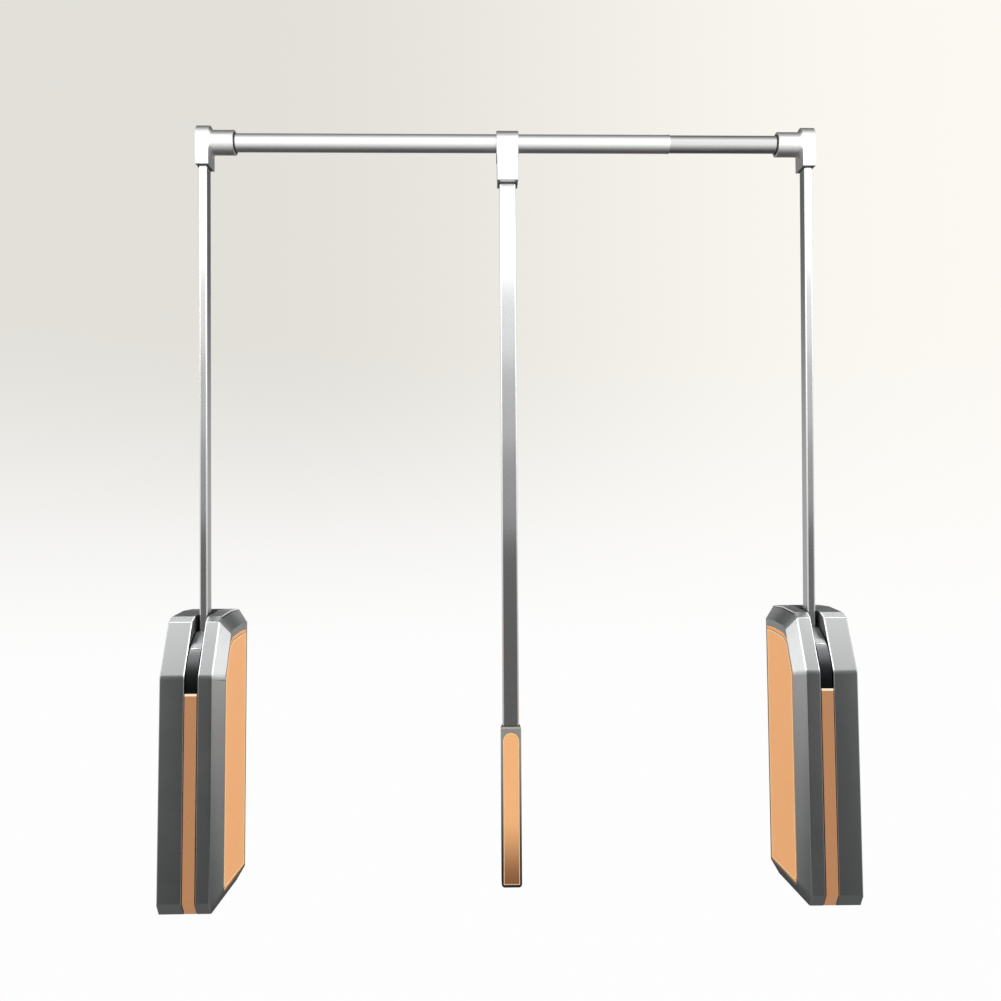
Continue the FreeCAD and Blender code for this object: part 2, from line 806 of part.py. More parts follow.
def arm_tube():
    """Flat tube from the drum to the connector."""
    top = arm_length - connector_below + connector_socket
    tube = flat_tube(socket_start, top, x_arm, False)
    for z in (pin_low, pin_high):
        tube = tube.cut(rod_x(pin_radius, x_slot_in, x_slot_out, 0, z))
    screw_z = arm_length - locking_screw_below
    tube = tube.cut(rod_x(locking_screw_radius, x_arm, x_slot_out, 0, screw_z))
    return on_pivot(tube)


def locking_screw_profile(x_outer):
    """Countersunk screw along X, head flush with a face, drawn round the X axis."""
    cone = locking_screw_head - locking_screw_radius
    x_inner = x_arm + tube_thick / 2 - tube_wall
    profile = [
        V(x_inner, 0, 0),
        V(x_inner, 0, locking_screw_radius),
        V(x_outer - cone, 0, locking_screw_radius),
        V(x_outer, 0, locking_screw_head),
        V(x_outer, 0, 0),
    ]
    face = Part.Face(Part.makePolygon(profile + profile[:1]))
    return face.revolve(V(0, 0, 0), V(1, 0, 0), 360)


def arm_connector(bore_radius):
    """Die-cast elbow from the arm tube to the rail, drawn round the rail axis."""
    x_out = x_arm + connector_width / 2
    x_in = x_arm - connector_width / 2
    half = connector_depth / 2
    spring_line = connector_above - half
    edges = [
        Part.makeLine(V(x_in, -half, -connector_below), V(x_in, half, -connector_below)),
        Part.makeLine(V(x_in, half, -connector_below), V(x_in, half, spring_line)),
        Part.Arc(V(x_in, half, spring_line), V(x_in, 0, connector_above), V(x_in, -half, spring_line)).toShape(),
        Part.makeLine(V(x_in, -half, spring_line), V(x_in, -half, -connector_below)),
    ]
    block = Part.Face(Part.Wire(edges)).extrude(V(x_out - x_in, 0, 0))
    x_mouth = x_in - collar_reach
    flare_top = collar_radius + collar_flare
    flare = Part.makeCone(collar_radius, flare_top, collar_flare, V(x_in - collar_flare, 0, 0), V(1, 0, 0))
    slab = box(x_mouth, x_in, -half, half, -connector_below, connector_above)
    collar = rod_x(collar_radius, x_mouth, x_in, 0, 0).common(slab).fuse(flare.common(slab))
    body = block.fuse(collar).removeSplitter()
    body = body.cut(rod_x(bore_radius, x_mouth, x_in - collar_floor, 0, 0))
    body = body.cut(rod_x(bore_radius + collar_mouth_gap, x_mouth, x_mouth + collar_mouth_depth, 0, 0))
    body = body.cut(arm_pocket(-connector_below, connector_socket - connector_below))
    screw = locking_screw_profile(x_out)
    screw.translate(V(0, 0, -locking_screw_below))
    body = body.cut(screw)
    body.translate(V(0, 0, arm_length))
    return on_pivot(body)


def connector_screw():
    """Countersunk screw that locks the connector to the arm."""
    screw = locking_screw_profile(x_arm + connector_width / 2)
    x_out = x_arm + connector_width / 2
    screw = screw.cut(box(x_out - 1.4, x_out, -0.5, 0.5, -3.0, 3.0))
    screw.translate(V(0, 0, arm_length - locking_screw_below))
    return on_pivot(screw)


# ---------------------------------------------------------------- rail and handle
def at_rail(shape):
    """Place a piece drawn round the X axis on the rail axis."""
    placed = shape.copy()
    placed.translate(V(0, rail_depth, rail_height))
    return placed


def rail_outer_tube():
    """Outer tube of the telescopic rail, held by the left arm."""
    tube = rod_x(rail_radius, -x_tube_end, rail_step, 0, 0)
    return at_rail(tube.cut(rod_x(rail_radius - rail_wall, -x_tube_end, rail_step, 0, 0)))


def rail_inner_tube():
    """Inner tube of the telescopic rail, held by the right arm."""
    tube = rod_x(inner_rail_radius, inner_rail_end, x_tube_end, 0, 0)
    return at_rail(tube.cut(rod_x(inner_rail_radius - inner_rail_wall, inner_rail_end, x_tube_end, 0, 0)))


def rail_end_ring():
    """Bright guide ring on the open end of the outer tube."""
    ring = rod_x(rail_radius + end_ring_lip, rail_step, rail_step + end_ring_length, 0, 0)
    return at_rail(ring.cut(rod_x(inner_rail_radius + running, rail_step, rail_step + end_ring_length, 0, 0)))


def handle_bracket():
    """Arched bracket round the rail with a sleeve for the handle bar."""
    half = bracket_width / 2
    deep = bracket_depth / 2
    spring_line = bracket_above - deep
    edges = [
        Part.makeLine(V(-half, -deep, -bracket_sleeve_from), V(-half, deep, -bracket_sleeve_from)),
        Part.makeLine(V(-half, deep, -bracket_sleeve_from), V(-half, deep, spring_line)),
        Part.Arc(V(-half, deep, spring_line), V(-half, 0, bracket_above), V(-half, -deep, spring_line)).toShape(),
        Part.makeLine(V(-half, -deep, spring_line), V(-half, -deep, -bracket_sleeve_from)),
    ]
    head = Part.Face(Part.Wire(edges)).extrude(V(bracket_width, 0, 0))
    sleeve_half = bracket_sleeve_width / 2
    sleeve = box(-sleeve_half, sleeve_half, -deep, -deep + sleeve_depth, -bracket_below, -bracket_sleeve_from)
    body = head.fuse(sleeve).removeSplitter()
    body = body.cut(rod_x(rail_radius + running + bracket_bush_wall, -half, half, 0, 0))
    body = body.cut(rounded_tube_solid(tube_wide, tube_thick, tube_corner, -bracket_below, -bar_top, 0, True))
    body = body.cut(Part.makeCylinder(screw_radius, deep, V(0, 0, -bracket_screw_below), V(0, 1, 0)))
    return at_rail(body)


def bracket_bush():
    """Plastic bush between the bracket and the rail."""
    half = bracket_width / 2
    bush = rod_x(rail_radius + running + bracket_bush_wall, -half, half, 0, 0)
    return at_rail(bush.cut(rod_x(rail_radius + running, -half, half, 0, 0)))


def bracket_screw():
    """Set screw through the back of the sleeve into the handle bar."""
    start = tube_thick / 2 - tube_wall
    end = sleeve_depth - bracket_depth / 2
    screw = Part.makeCylinder(screw_radius, end - start, V(0, start, -bracket_screw_below), V(0, 1, 0))
    hex_points = []
    for i in range(6):
        angle = math.radians(60.0 * i)
        hex_points.append(V(1.1 * math.cos(angle), end, 1.1 * math.sin(angle) - bracket_screw_below))
    socket = Part.Face(Part.makePolygon(hex_points + hex_points[:1])).extrude(V(0, -2.0, 0))
    return at_rail(screw.cut(socket))


def handle_bar():
    """Flat tube that hangs from the bracket down to the grip."""
    low = grip_top - grip_socket - rail_height
    bar = flat_tube(low, -bar_top, 0, True)
    bar = bar.cut(Part.makeCylinder(screw_radius, tube_wide, V(0, 0, -bracket_screw_below), V(0, 1, 0)))
    screw_z = low + grip_socket / 3
    bar = bar.cut(Part.makeCylinder(screw_radius, tube_wide, V(0, 0, screw_z), V(0, 1, 0)))
    return at_rail(bar)


def insert_face(half, bottom, top, y):
    """Arched outline of the grip insert at one depth, heights above the housings' foot."""
    low = bottom - rail_height
    spring_line = top - rail_height - half
    edges = [
        Part.makeLine(V(-half, y, low), V(half, y, low)),
        Part.makeLine(V(half, y, low), V(half, y, spring_line)),
        Part.Arc(V(half, y, spring_line), V(0, y, spring_line + half), V(-half, y, spring_line)).toShape(),
        Part.makeLine(V(-half, y, spring_line), V(-half, y, low)),
    ]
    return Part.Face(Part.Wire(edges))


def grip_shell():
    """Metal grip body with a socket for the bar and a recess for the insert."""
    half = grip_width / 2
    deep = grip_depth / 2
    body = box(-half, half, -deep, deep, grip_bottom - rail_height, grip_top - rail_height)
    low_edges = [
        e for e in body.Edges
        if abs(e.Vertexes[0].Y - e.Vertexes[1].Y) > deep and e.CenterOfMass.z < grip_bottom - rail_height + 1
    ]
    body = body.makeFillet(grip_corner, low_edges)
    top_edges = [e for e in body.Edges if e.CenterOfMass.z > grip_top - rail_height - 1e-6]
    body = body.makeChamfer(grip_top_bevel, top_edges)
    socket_low = grip_top - grip_socket - rail_height
    body = body.cut(rounded_tube_solid(tube_wide, tube_thick, tube_corner, socket_low,
                                       grip_top - rail_height, 0, True))
    recess = insert_face(insert_width / 2, insert_bottom, insert_top, -deep)
    body = body.cut(recess.extrude(V(0, insert_thickness - insert_proud, 0)))
    screw_z = socket_low + grip_socket / 3
    return at_rail(body.cut(Part.makeCylinder(screw_radius, deep, V(0, 0, screw_z), V(0, 1, 0))))


def grip_insert():
    """Leather insert with an arched top in the front of the grip."""
    face = insert_face(insert_width / 2, insert_bottom, insert_top, -grip_depth / 2 - insert_proud)
    return at_rail(face.extrude(V(0, insert_thickness, 0)))


def grip_screw():
    """Screw through the back of the grip into the bar."""
    start = tube_thick / 2 - tube_wall
    screw_z = grip_top - grip_socket - rail_height + grip_socket / 3
    screw = Part.makeCylinder(screw_radius, grip_depth / 2 - start, V(0, start, screw_z), V(0, 1, 0))
    slot = box(-0.4, 0.4, grip_depth / 2 - 1.0, grip_depth / 2, screw_z - screw_radius, screw_z + screw_radius)
    return at_rail(screw.cut(slot))


# ---------------------------------------------------------------- write the sub-parts
os.makedirs("parts", exist_ok=True)

side_pieces = {
    "outer_shell": outer_shell(),
    "mounting_plate": mounting_plate(),
    "inner_shell": inner_shell(),
    "slot_spine": slot_spine(),
    "front_strip": front_strip(),
    "side_panel": side_panel(),
    "outer_bush": pivot_bush(x_slot_out, 1),
    "inner_bush": pivot_bush(x_slot_in, -1),
    "shell_screws": shell_screws(),
    "stop_buffers": stop_buffers(),
    "gas_cylinder": gas_cylinder(),
    "rack_guide": rack_guide(),
    "damper_body": damper_body(),
    "arm_drum": arm_drum(),
    "arm_pins": arm_pins(),
    "pivot_shaft": pivot_shaft(),
    "lift_gear": lift_gear(),
    "damper_gear": damper_gear(),
    "arm_tube": arm_tube(),
    "connector_screw": connector_screw(),
    "lift_rack": lift_rack(),
    "gas_rod": gas_rod(),
    "damper_pinion": damper_pinion(),
}
for piece_name, piece in side_pieces.items():
    save("right_" + piece_name, piece)
    save("left_" + piece_name, piece.mirror(V(0, 0, 0), V(1, 0, 0)))

save("right_arm_connector", arm_connector(inner_rail_radius))
save("left_arm_connector", arm_connector(rail_radius).mirror(V(0, 0, 0), V(1, 0, 0)))
save("rail_outer_tube", rail_outer_tube())
save("rail_inner_tube", rail_inner_tube())
save("rail_end_ring", rail_end_ring())
save("handle_bracket", handle_bracket())
save("bracket_bush", bracket_bush())
save("bracket_screw", bracket_screw())
save("handle_bar", handle_bar())
save("grip_shell", grip_shell())
save("grip_insert", grip_insert())
save("grip_screw", grip_screw())
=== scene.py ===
import logging
import math
from dataclasses import dataclass
from enum import Enum
from typing import Any, Callable

import bmesh
import bpy
from mathutils import Matrix, Vector
from mathutils.geometry import intersect_point_line


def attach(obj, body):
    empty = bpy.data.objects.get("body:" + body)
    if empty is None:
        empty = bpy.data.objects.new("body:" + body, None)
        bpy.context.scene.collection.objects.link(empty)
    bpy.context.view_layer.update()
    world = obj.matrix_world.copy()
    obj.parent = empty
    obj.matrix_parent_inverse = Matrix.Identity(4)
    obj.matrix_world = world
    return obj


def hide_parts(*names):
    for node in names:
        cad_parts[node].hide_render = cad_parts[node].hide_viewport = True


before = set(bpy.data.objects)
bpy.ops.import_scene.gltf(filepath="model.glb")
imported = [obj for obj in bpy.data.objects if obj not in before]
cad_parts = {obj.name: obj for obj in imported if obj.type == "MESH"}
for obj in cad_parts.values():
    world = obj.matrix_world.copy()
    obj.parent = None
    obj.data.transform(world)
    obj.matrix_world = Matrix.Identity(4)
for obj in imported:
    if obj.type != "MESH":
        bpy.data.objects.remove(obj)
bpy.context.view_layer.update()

log = logging.getLogger("closet_rod")

Colour = tuple[float, float, float]
MM = 0.001


# ---------------------------------------------------------------- shader writing
class Signal:
    """One output of a node; arithmetic on it adds Math nodes."""

    def __init__(self, graph: "Graph", source: bpy.types.Node, output: int | str) -> None:
        """Point at an output.

        Args:
            graph: The graph that owns the node.
            source: The node.
            output: Name or number of the output.
        """
        self.graph = graph
        self.source = source
        self.output = output

    @property
    def socket(self) -> bpy.types.NodeSocket:
        """The output's socket."""
        return self.source.outputs[self.output]

    def _math(self, operation: str, first: "Signal | float", second: "Signal | float") -> "Signal":
        """Add one Math node."""
        return self.graph.node("ShaderNodeMath", {"operation": operation}, {0: first, 1: second})

    def __add__(self, other: "Signal | float") -> "Signal":
        """Sum."""
        return self._math("ADD", self, other)

    def __sub__(self, other: "Signal | float") -> "Signal":
        """Difference."""
        return self._math("SUBTRACT", self, other)

    def __rsub__(self, other: float) -> "Signal":
        """Difference with a number on the left."""
        return self._math("SUBTRACT", other, self)

    def __mul__(self, other: "Signal | float") -> "Signal":
        """Product."""
        return self._math("MULTIPLY", self, other)

    # A sum and a product are the same either way round.
    __radd__ = __add__
    __rmul__ = __mul__

    def above(self, limit: float) -> "Signal":
        """One where the value is over a limit, else zero."""
        return self._math("GREATER_THAN", self, limit)

    def distance_to(self, other: "Signal | float") -> "Signal":
        """Absolute difference."""
        return self.graph.node("ShaderNodeMath", {"operation": "ABSOLUTE"}, {0: self - other})

    def ramp(self, low: float, high: float) -> "Signal":
        """Smooth step between two values, flat outside them.

        Args:
            low: Value that gives zero.
            high: Value that gives one.

        Returns:
            The step.
        """
        settings = {"interpolation_type": "SMOOTHSTEP", "clamp": True}
        values = {"Value": self, "From Min": low, "From Max": high}
        return self.graph.node("ShaderNodeMapRange", settings, values)


class Graph:
    """Writes a node tree."""

    def __init__(self, tree: bpy.types.NodeTree) -> None:
        """Start from an empty tree.

        Args:
            tree: The node tree of a material or of the world.
        """
        self.tree = tree
        self.tree.nodes.clear()

    def node(
        self, kind: str, settings: dict[str, Any], values: dict[int | str, Any], output: int | str = 0
    ) -> Signal:
        """Add a node, set its options first and then its sockets.

        Args:
            kind: The node's type name.
            settings: Options of the node.
            values: Socket name or number to a Signal or a constant.
            output: The output to read; a closing node has none, and it isn't read.

        Returns:
            That output.
        """
        made = self.tree.nodes.new(kind)
        for name, value in settings.items():
            setattr(made, name, value)
        for name, value in values.items():
            if isinstance(value, Signal):
                self.tree.links.new(value.socket, made.inputs[name])
            else:
                made.inputs[name].default_value = value
        return Signal(self, made, output)

    def place(self) -> Signal:
        """The point on the surface in the part's own frame, in metres."""
        return self.node("ShaderNodeTexCoord", {}, {}, "Object")

    def stretched(self, point: Signal, factors: tuple[float, float, float]) -> Signal:
        """Scale a point differently along each axis."""
        return self.node("ShaderNodeVectorMath", {"operation": "MULTIPLY"}, {0: point, 1: factors})

    def axis(self, point: Signal, name: str) -> Signal:
        """One coordinate of a point."""
        return self.node("ShaderNodeSeparateXYZ", {}, {"Vector": point}, name)

    def noise(self, point: Signal, scale: float, detail: float = 2.0, roughness: float = 0.5) -> Signal:
        """Cloudy noise between zero and one."""
        values = {"Vector": point, "Scale": scale, "Detail": detail, "Roughness": roughness}
        return self.node("ShaderNodeTexNoise", {"noise_dimensions": "3D"}, values, "Fac")

    def cells(self, point: Signal, scale: float, feature: str = "F1", output: str = "Distance") -> Signal:
        """Grain of cells: distance to a cell's centre or border, or a colour for each cell."""
        values = {"Vector": point, "Scale": scale}
        return self.node("ShaderNodeTexVoronoi", {"feature": feature}, values, output)

    def blend(self, factor: Signal | float, first: Colour | Signal, second: Colour | Signal) -> Signal:
        """Mix two colours.

        Args:
            factor: Share of the second colour.
            first: Colour where the factor is zero.
            second: Colour where the factor is one.

        Returns:
            The mixed colour.
        """
        def whole(value: Colour | Signal) -> Any:
            """Add the fourth number that a colour socket needs."""
            return value if isinstance(value, Signal) else (*value, 1.0)

        # The node's colours are its inputs 6 and 7 and its output 2.
        values = {0: factor, 6: whole(first), 7: whole(second)}
        return self.node("ShaderNodeMix", {"data_type": "RGBA", "blend_type": "MIX"}, values, 2)

    def bump(
        self, height: Signal, depth: float, strength: float = 1.0, below: Signal | None = None
    ) -> Signal:
        """Surface relief.

        Args:
            height: Relief between zero and one.
            depth: Real depth in metres.
            strength: Share of the effect.
            below: A coarser relief to add to.

        Returns:
            The normal to give a shader.
        """
        values: dict[int | str, Any] = {"Height": height, "Distance": depth, "Strength": strength}
        if below is not None:
            values["Normal"] = below
        return self.node("ShaderNodeBump", {}, values)

    def surface(self, values: dict[int | str, Any]) -> None:
        """Close the graph with one Principled shader."""
        shader = self.node("ShaderNodeBsdfPrincipled", {}, values, "BSDF")
        self.node("ShaderNodeOutputMaterial", {}, {"Surface": shader})


def new_material(name: str) -> tuple[bpy.types.Material, Graph]:
    """Make an empty node material.

    Args:
        name: Name of the material.

    Returns:
        The material and the graph that writes it.
    """
    material = bpy.data.materials.new(name)
    material.use_nodes = True
    return material, Graph(material.node_tree)


def shade(tone: Colour, factor: float, lift: float = 0.0) -> Colour:
    """Paler or deeper version of a colour."""
    return tuple(min(1.0, c * factor + lift) for c in tone)


def tint(tone: Colour, factors: tuple[float, float, float]) -> Colour:
    """Colour with its red, green and blue each scaled."""
    return tuple(c * k for c, k in zip(tone, factors))


# ---------------------------------------------------------------- finishes
class Grain(Enum):
    """Direction in which a tube was drawn."""

    ALONG_RAIL = (0.012, 1.0, 1.0)
    ALONG_ARM = (1.0, 1.0, 0.012)


@dataclass(frozen=True)
class MetallicPaint:
    """Sprayed grey paint with fine flakes, over moulded plastic.

    It shows the seam across the trays' tops as a dark line, a painted highlight of bright metal along
    the slot's rims above a given height, and painted shade that darkens the foot where one is given.
    A line's two widths are where it is full and where it has faded.
    """

    name: str
    tone: Colour
    roughness: float = 0.33
    metallic: float = 1.0
    flake_size: float = 0.35 * MM
    seam_x: float = 315.2 * MM
    seam_height: float = 306.0 * MM
    seam_line: tuple[float, float] = (0.35 * MM, 0.75 * MM)
    seam_tone: Colour = (0.02, 0.02, 0.021)
    rims: tuple[float, ...] = ()
    rim_line: tuple[float, float] = (0.45 * MM, 0.95 * MM)
    rim_foot: float = 246.0 * MM
    rim_fade: float = 5.0 * MM
    rim_highlight_tone: Colour = (0.98, 0.98, 0.97)
    painted_shade_tone: Colour | None = None
    foot: float = 25.0 * MM
    foot_height: float = 165.0 * MM

    def _rubbed(self, aside: Signal, height: Signal) -> Signal:
        """Share of the painted highlight along the rims of the slot.

        Args:
            aside: Distance from the middle of the part.
            height: Height above the housings' underside.

        Returns:
            A share between zero and one.
        """
        rim_highlight: Signal | float = 0.0
        for rim in self.rims:
            rim_highlight = (1.0 - aside.distance_to(rim).ramp(*self.rim_line)) + rim_highlight
        return rim_highlight * height.ramp(self.rim_foot, self.rim_foot + self.rim_fade)

    def material(self) -> bpy.types.Material:
        """Write the paint.

        Returns:
            The material.
        """
        made, g = new_material(self.name)
        point = g.place()
        aside, height = g.axis(point, "X").distance_to(0.0), g.axis(point, "Z")
        sparkle = g.axis(g.cells(point, 1.0 / self.flake_size, output="Color"), "X")
        cloud = g.noise(point, 22.0, 3.0)
        base = g.blend(sparkle * 0.55 + cloud * 0.45, shade(self.tone, 0.84), shade(self.tone, 1.22))
        seam = 1.0 - aside.distance_to(self.seam_x).ramp(*self.seam_line)
        base = g.blend(seam * height.above(self.seam_height) * 0.85, base, self.seam_tone)
        peel = g.noise(point, 480.0, 1.0)
        rough = (sparkle - 0.5) * 0.05 + (cloud - 0.5) * 0.08 + self.roughness
        # Painted highlight: the slot's rims turn pale and glossier above rim_foot, where light catches
        # them.
        if self.rims:
            rim_highlight = self._rubbed(aside, height)
            base = g.blend(rim_highlight * 0.9, base, self.rim_highlight_tone)
            rough = rough - rim_highlight * 0.08
        # Painted shade: the colour darkens towards the foot.
        if self.painted_shade_tone:
            base = g.blend(height.ramp(self.foot, self.foot + self.foot_height), self.painted_shade_tone, base)
        relief = g.bump(sparkle, 0.004 * MM, 0.5)
        g.surface({
            "Base Color": base,
            "Metallic": self.metallic,
            "Roughness": rough,
            "Normal": g.bump(peel, 0.012 * MM, 0.6, relief),
            "Coat Weight": 0.25,
            "Coat Roughness": 0.28,
        })
        return made


@dataclass(frozen=True)
class DrawnAluminium:
    """Satin anodised tube with fine lines along its length."""

    name: str
    grain: Grain
    tone: Colour = (0.80, 0.805, 0.81)
    roughness: float = 0.27
    line_pitch: float = 0.22 * MM

    def material(self) -> bpy.types.Material:
        """Write the metal.

        Returns:
            The material.
        """
        made, g = new_material(self.name)
        point = g.place()
        along = g.stretched(point, self.grain.value)
        lines = g.noise(along, 1.0 / self.line_pitch, 3.0, 0.65)
        broad = g.noise(along, 300.0, 2.0)
        smudge = g.noise(point, 14.0, 3.0, 0.6)
        base = g.blend(lines * 0.6 + broad * 0.4, shade(self.tone, 0.90), self.tone)
        rough = (lines - 0.5) * 0.10 + (smudge - 0.5) * 0.06 + self.roughness
        g.surface({
            "Base Color": base,
            "Metallic": 1.0,
            "Roughness": rough,
            "Normal": g.bump(lines, 0.004 * MM, 0.6),
        })
        return made


@dataclass(frozen=True)
class BlastedCasting:
    """Die-cast metal, bead blasted and plated satin."""

    name: str
    tone: Colour = (0.77, 0.77, 0.765)
    roughness: float = 0.37

    def material(self) -> bpy.types.Material:
        """Write the metal.

        Returns:
            The material.
        """
        made, g = new_material(self.name)
        point = g.place()
        grit = g.noise(point, 5200.0, 2.0, 0.7)
        cloud = g.noise(point, 45.0, 3.0)
        g.surface({
            "Base Color": g.blend(cloud * 0.6 + grit * 0.4, shade(self.tone, 0.93), self.tone),
            "Metallic": 1.0,
            "Roughness": (grit - 0.5) * 0.08 + (cloud - 0.5) * 0.06 + self.roughness,
            "Normal": g.bump(grit, 0.006 * MM, 0.55),
        })
        return made


@dataclass(frozen=True)
class PebbledLeather:
    """Tanned leather with a fine pebble grain and slightly darker folds.

    The foot may be darker with painted shade, and the leather may carry a painted highlight above a given
    height.
    """

    name: str
    tone: Colour
    pebble: float = 0.95 * MM
    depth: float = 0.075 * MM
    foot: float = 0.0
    foot_height: float = 1.0
    painted_shade_tone: Colour = (0.3, 0.12, 0.04)
    top_highlight_above: float = 0.0
    top_highlight_tone: Colour = (1.0, 0.84, 0.64)

    def material(self) -> bpy.types.Material:
        """Write the leather.

        Returns:
            The material.
        """
        made, g = new_material(self.name)
        point = g.place()
        warp = g.noise(point, 420.0, 2.0)
        pebbles = g.cells(point, 1.0 / self.pebble)
        border = g.cells(point, 1.0 / self.pebble, "DISTANCE_TO_EDGE")
        fine = g.noise(point, 3800.0, 2.0, 0.6)
        tan = g.noise(point, 16.0, 4.0, 0.6)
        crease = 1.0 - border.ramp(0.0, 0.16)
        deep = tint(self.tone, (0.86, 0.78, 0.70))
        base = g.blend(tan * 0.7 + warp * 0.3, self.tone, shade(self.tone, 1.09))
        base = g.blend(crease * 0.5 + pebbles * 0.25, base, deep)
        # Painted shade: darker towards the foot.
        if self.foot:
            dark = 1.0 - g.axis(point, "Z").ramp(self.foot, self.foot + self.foot_height)
            base = g.blend(dark, base, self.painted_shade_tone)
        # Painted highlight: paler above a given height, along the top edge.
        if self.top_highlight_above:
            base = g.blend(g.axis(point, "Z").above(self.top_highlight_above), base, self.top_highlight_tone)
        height = border.ramp(0.0, 0.35) * 0.8 + fine * 0.2
        g.surface({
            "Base Color": base,
            "Roughness": (fine - 0.5) * 0.16 + crease * 0.1 + 0.46,
            "Normal": g.bump(height, self.depth, 0.8),
            "Specular IOR Level": 0.42,
            "Sheen Weight": 0.08,
            "Sheen Roughness": 0.45,
        })
        return made


@dataclass(frozen=True)
class MouldedPlastic:
    """Injection-moulded plastic or rubber with a fine spark-eroded texture."""

    name: str
    tone: Colour
    roughness: float = 0.48

    def material(self) -> bpy.types.Material:
        """Write the plastic.

        Returns:
            The material.
        """
        made, g = new_material(self.name)
        point = g.place()
        grit = g.noise(point, 2600.0, 2.0, 0.7)
        cloud = g.noise(point, 30.0, 2.0)
        g.surface({
            "Base Color": g.blend(cloud * 0.5 + grit * 0.3, self.tone, shade(self.tone, 1.25, 0.004)),
            "Roughness": (grit - 0.5) * 0.15 + self.roughness,
            "Normal": g.bump(grit, 0.012 * MM, 0.6),
        })
        return made


@dataclass(frozen=True)
class PlatedSteel:
    """Zinc or chrome plated steel with faint blotches."""

    name: str
    tone: Colour
    roughness: float = 0.3

    def material(self) -> bpy.types.Material:
        """Write the plating.

        Returns:
            The material.
        """
        made, g = new_material(self.name)
        point = g.place()
        blotch = g.noise(point, 160.0, 4.0, 0.65)
        scratch = g.noise(g.stretched(point, (1.0, 0.08, 1.0)), 3000.0, 2.0)
        g.surface({
            "Base Color": g.blend(blotch * 0.6, self.tone, tint(self.tone, (0.93, 0.90, 0.82))),
            "Metallic": 1.0,
            "Roughness": (blotch - 0.5) * 0.14 + (scratch - 0.5) * 0.08 + self.roughness,
            "Normal": g.bump(scratch, 0.003 * MM, 0.5),
        })
        return made


@dataclass(frozen=True)
class SatinPaint:
    """Smooth satin paint on metal, with painted shade that darkens it below a given height."""

    name: str
    tone: Colour
    roughness: float = 0.3
    metallic: float = 0.3
    painted_shade_tone: Colour | None = None
    foot: float = 236.0 * MM
    fade: float = 42.0 * MM

    def material(self) -> bpy.types.Material:
        """Write the paint.

        Returns:
            The material.
        """
        made, g = new_material(self.name)
        point = g.place()
        peel = g.noise(point, 700.0, 2.0)
        cloud = g.noise(point, 60.0, 3.0)
        base = g.blend(cloud * 0.7, self.tone, shade(self.tone, 1.3))
        # Painted shade: darker below the given height.
        if self.painted_shade_tone:
            lit = g.axis(point, "Z").ramp(self.foot, self.foot + self.fade)
            base = g.blend(lit, self.painted_shade_tone, base)
        g.surface({
            "Base Color": base,
            "Metallic": self.metallic,
            "Roughness": (cloud - 0.5) * 0.1 + self.roughness,
            "Normal": g.bump(peel, 0.008 * MM, 0.6),
        })
        return made


class Finishes:
    """Every finish of the part, made once."""

    def __init__(self) -> None:
        """Write the materials."""
        # The housing paint carries a painted highlight along the slot's rims.
        self.housing = MetallicPaint(
            "housing_paint", (0.44, 0.45, 0.455), rims=(316.0 * MM, 330.3 * MM, 345.7 * MM)
        ).material()
        # Painted shade darkens the grip shell towards its foot.
        self.grip = MetallicPaint(
            "grip_paint", (0.43, 0.40, 0.355), 0.36, 0.4, painted_shade_tone=(0.035, 0.025, 0.018)
        ).material()
        self.rail = DrawnAluminium("rail_aluminium", Grain.ALONG_RAIL, roughness=0.38).material()
        self.thin_rail = DrawnAluminium(
            "thin_rail_aluminium", Grain.ALONG_RAIL, (0.60, 0.605, 0.60), 0.31
        ).material()
        self.arm = DrawnAluminium("arm_aluminium", Grain.ALONG_ARM).material()
        self.casting = BlastedCasting("satin_casting").material()
        self.panel_leather = PebbledLeather("panel_leather", (0.95, 0.45, 0.165)).material()
        # A darker copy of the panel's leather, as painted shade on the strip's front, with a painted
        # highlight along its top edge.
        self.shaded_strip_leather = PebbledLeather(
            "shaded_strip_leather", (0.52, 0.245, 0.107), top_highlight_above=227.6 * MM
        ).material()
        # Painted shade darkens the grip's leather towards its foot.
        self.grip_leather = PebbledLeather(
            "grip_leather", (0.97, 0.50, 0.215),
            foot=22.0 * MM, foot_height=75.0 * MM, painted_shade_tone=(0.27, 0.10, 0.035),
        ).material()
        # A real bead whose pale colour is a painted highlight.
        self.piping = PebbledLeather("piping_highlight", (0.98, 0.74, 0.45), 0.5 * MM, 0.02 * MM).material()
        # A dark strip that paints the shade of a groove.
        self.groove_shade = PebbledLeather("painted_groove_shade", (0.16, 0.075, 0.03), 0.5 * MM, 0.02 * MM).material()
        # Painted shade darkens the drum below its round face's top.
        self.drum = SatinPaint(
            "drum_paint", (0.15, 0.155, 0.16), metallic=0.95, painted_shade_tone=(0.03, 0.032, 0.036)
        ).material()
        self.black = MouldedPlastic("black_plastic", (0.016, 0.016, 0.018)).material()
        self.rubber = MouldedPlastic("black_rubber", (0.012, 0.012, 0.012), 0.7).material()
        self.acetal = MouldedPlastic("white_acetal", (0.78, 0.77, 0.72), 0.35).material()
        self.zinc = PlatedSteel("zinc_plate", (0.62, 0.63, 0.64)).material()
        self.screw = PlatedSteel("screw_plate", (0.55, 0.56, 0.57), 0.26).material()
        self.chrome = PlatedSteel("bright_chrome", (0.88, 0.885, 0.89), 0.1).material()
        self.cylinder = SatinPaint("cylinder_paint", (0.02, 0.02, 0.022), 0.34, 0.0).material()


# ---------------------------------------------------------------- mesh helpers
def dress(materials: dict[str, bpy.types.Material], start: str = "") -> None:
    """Give frame nodes their finishes; their meshes stay as they are.

    Args:
        materials: Finish of each node, by the node's name.
        start: Start of the names.
    """
    for name, material in materials.items():
        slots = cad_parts[start + name].data.materials
        slots.clear()
        slots.append(material)
        log.info("%s: dressed in %s", start + name, material.name)


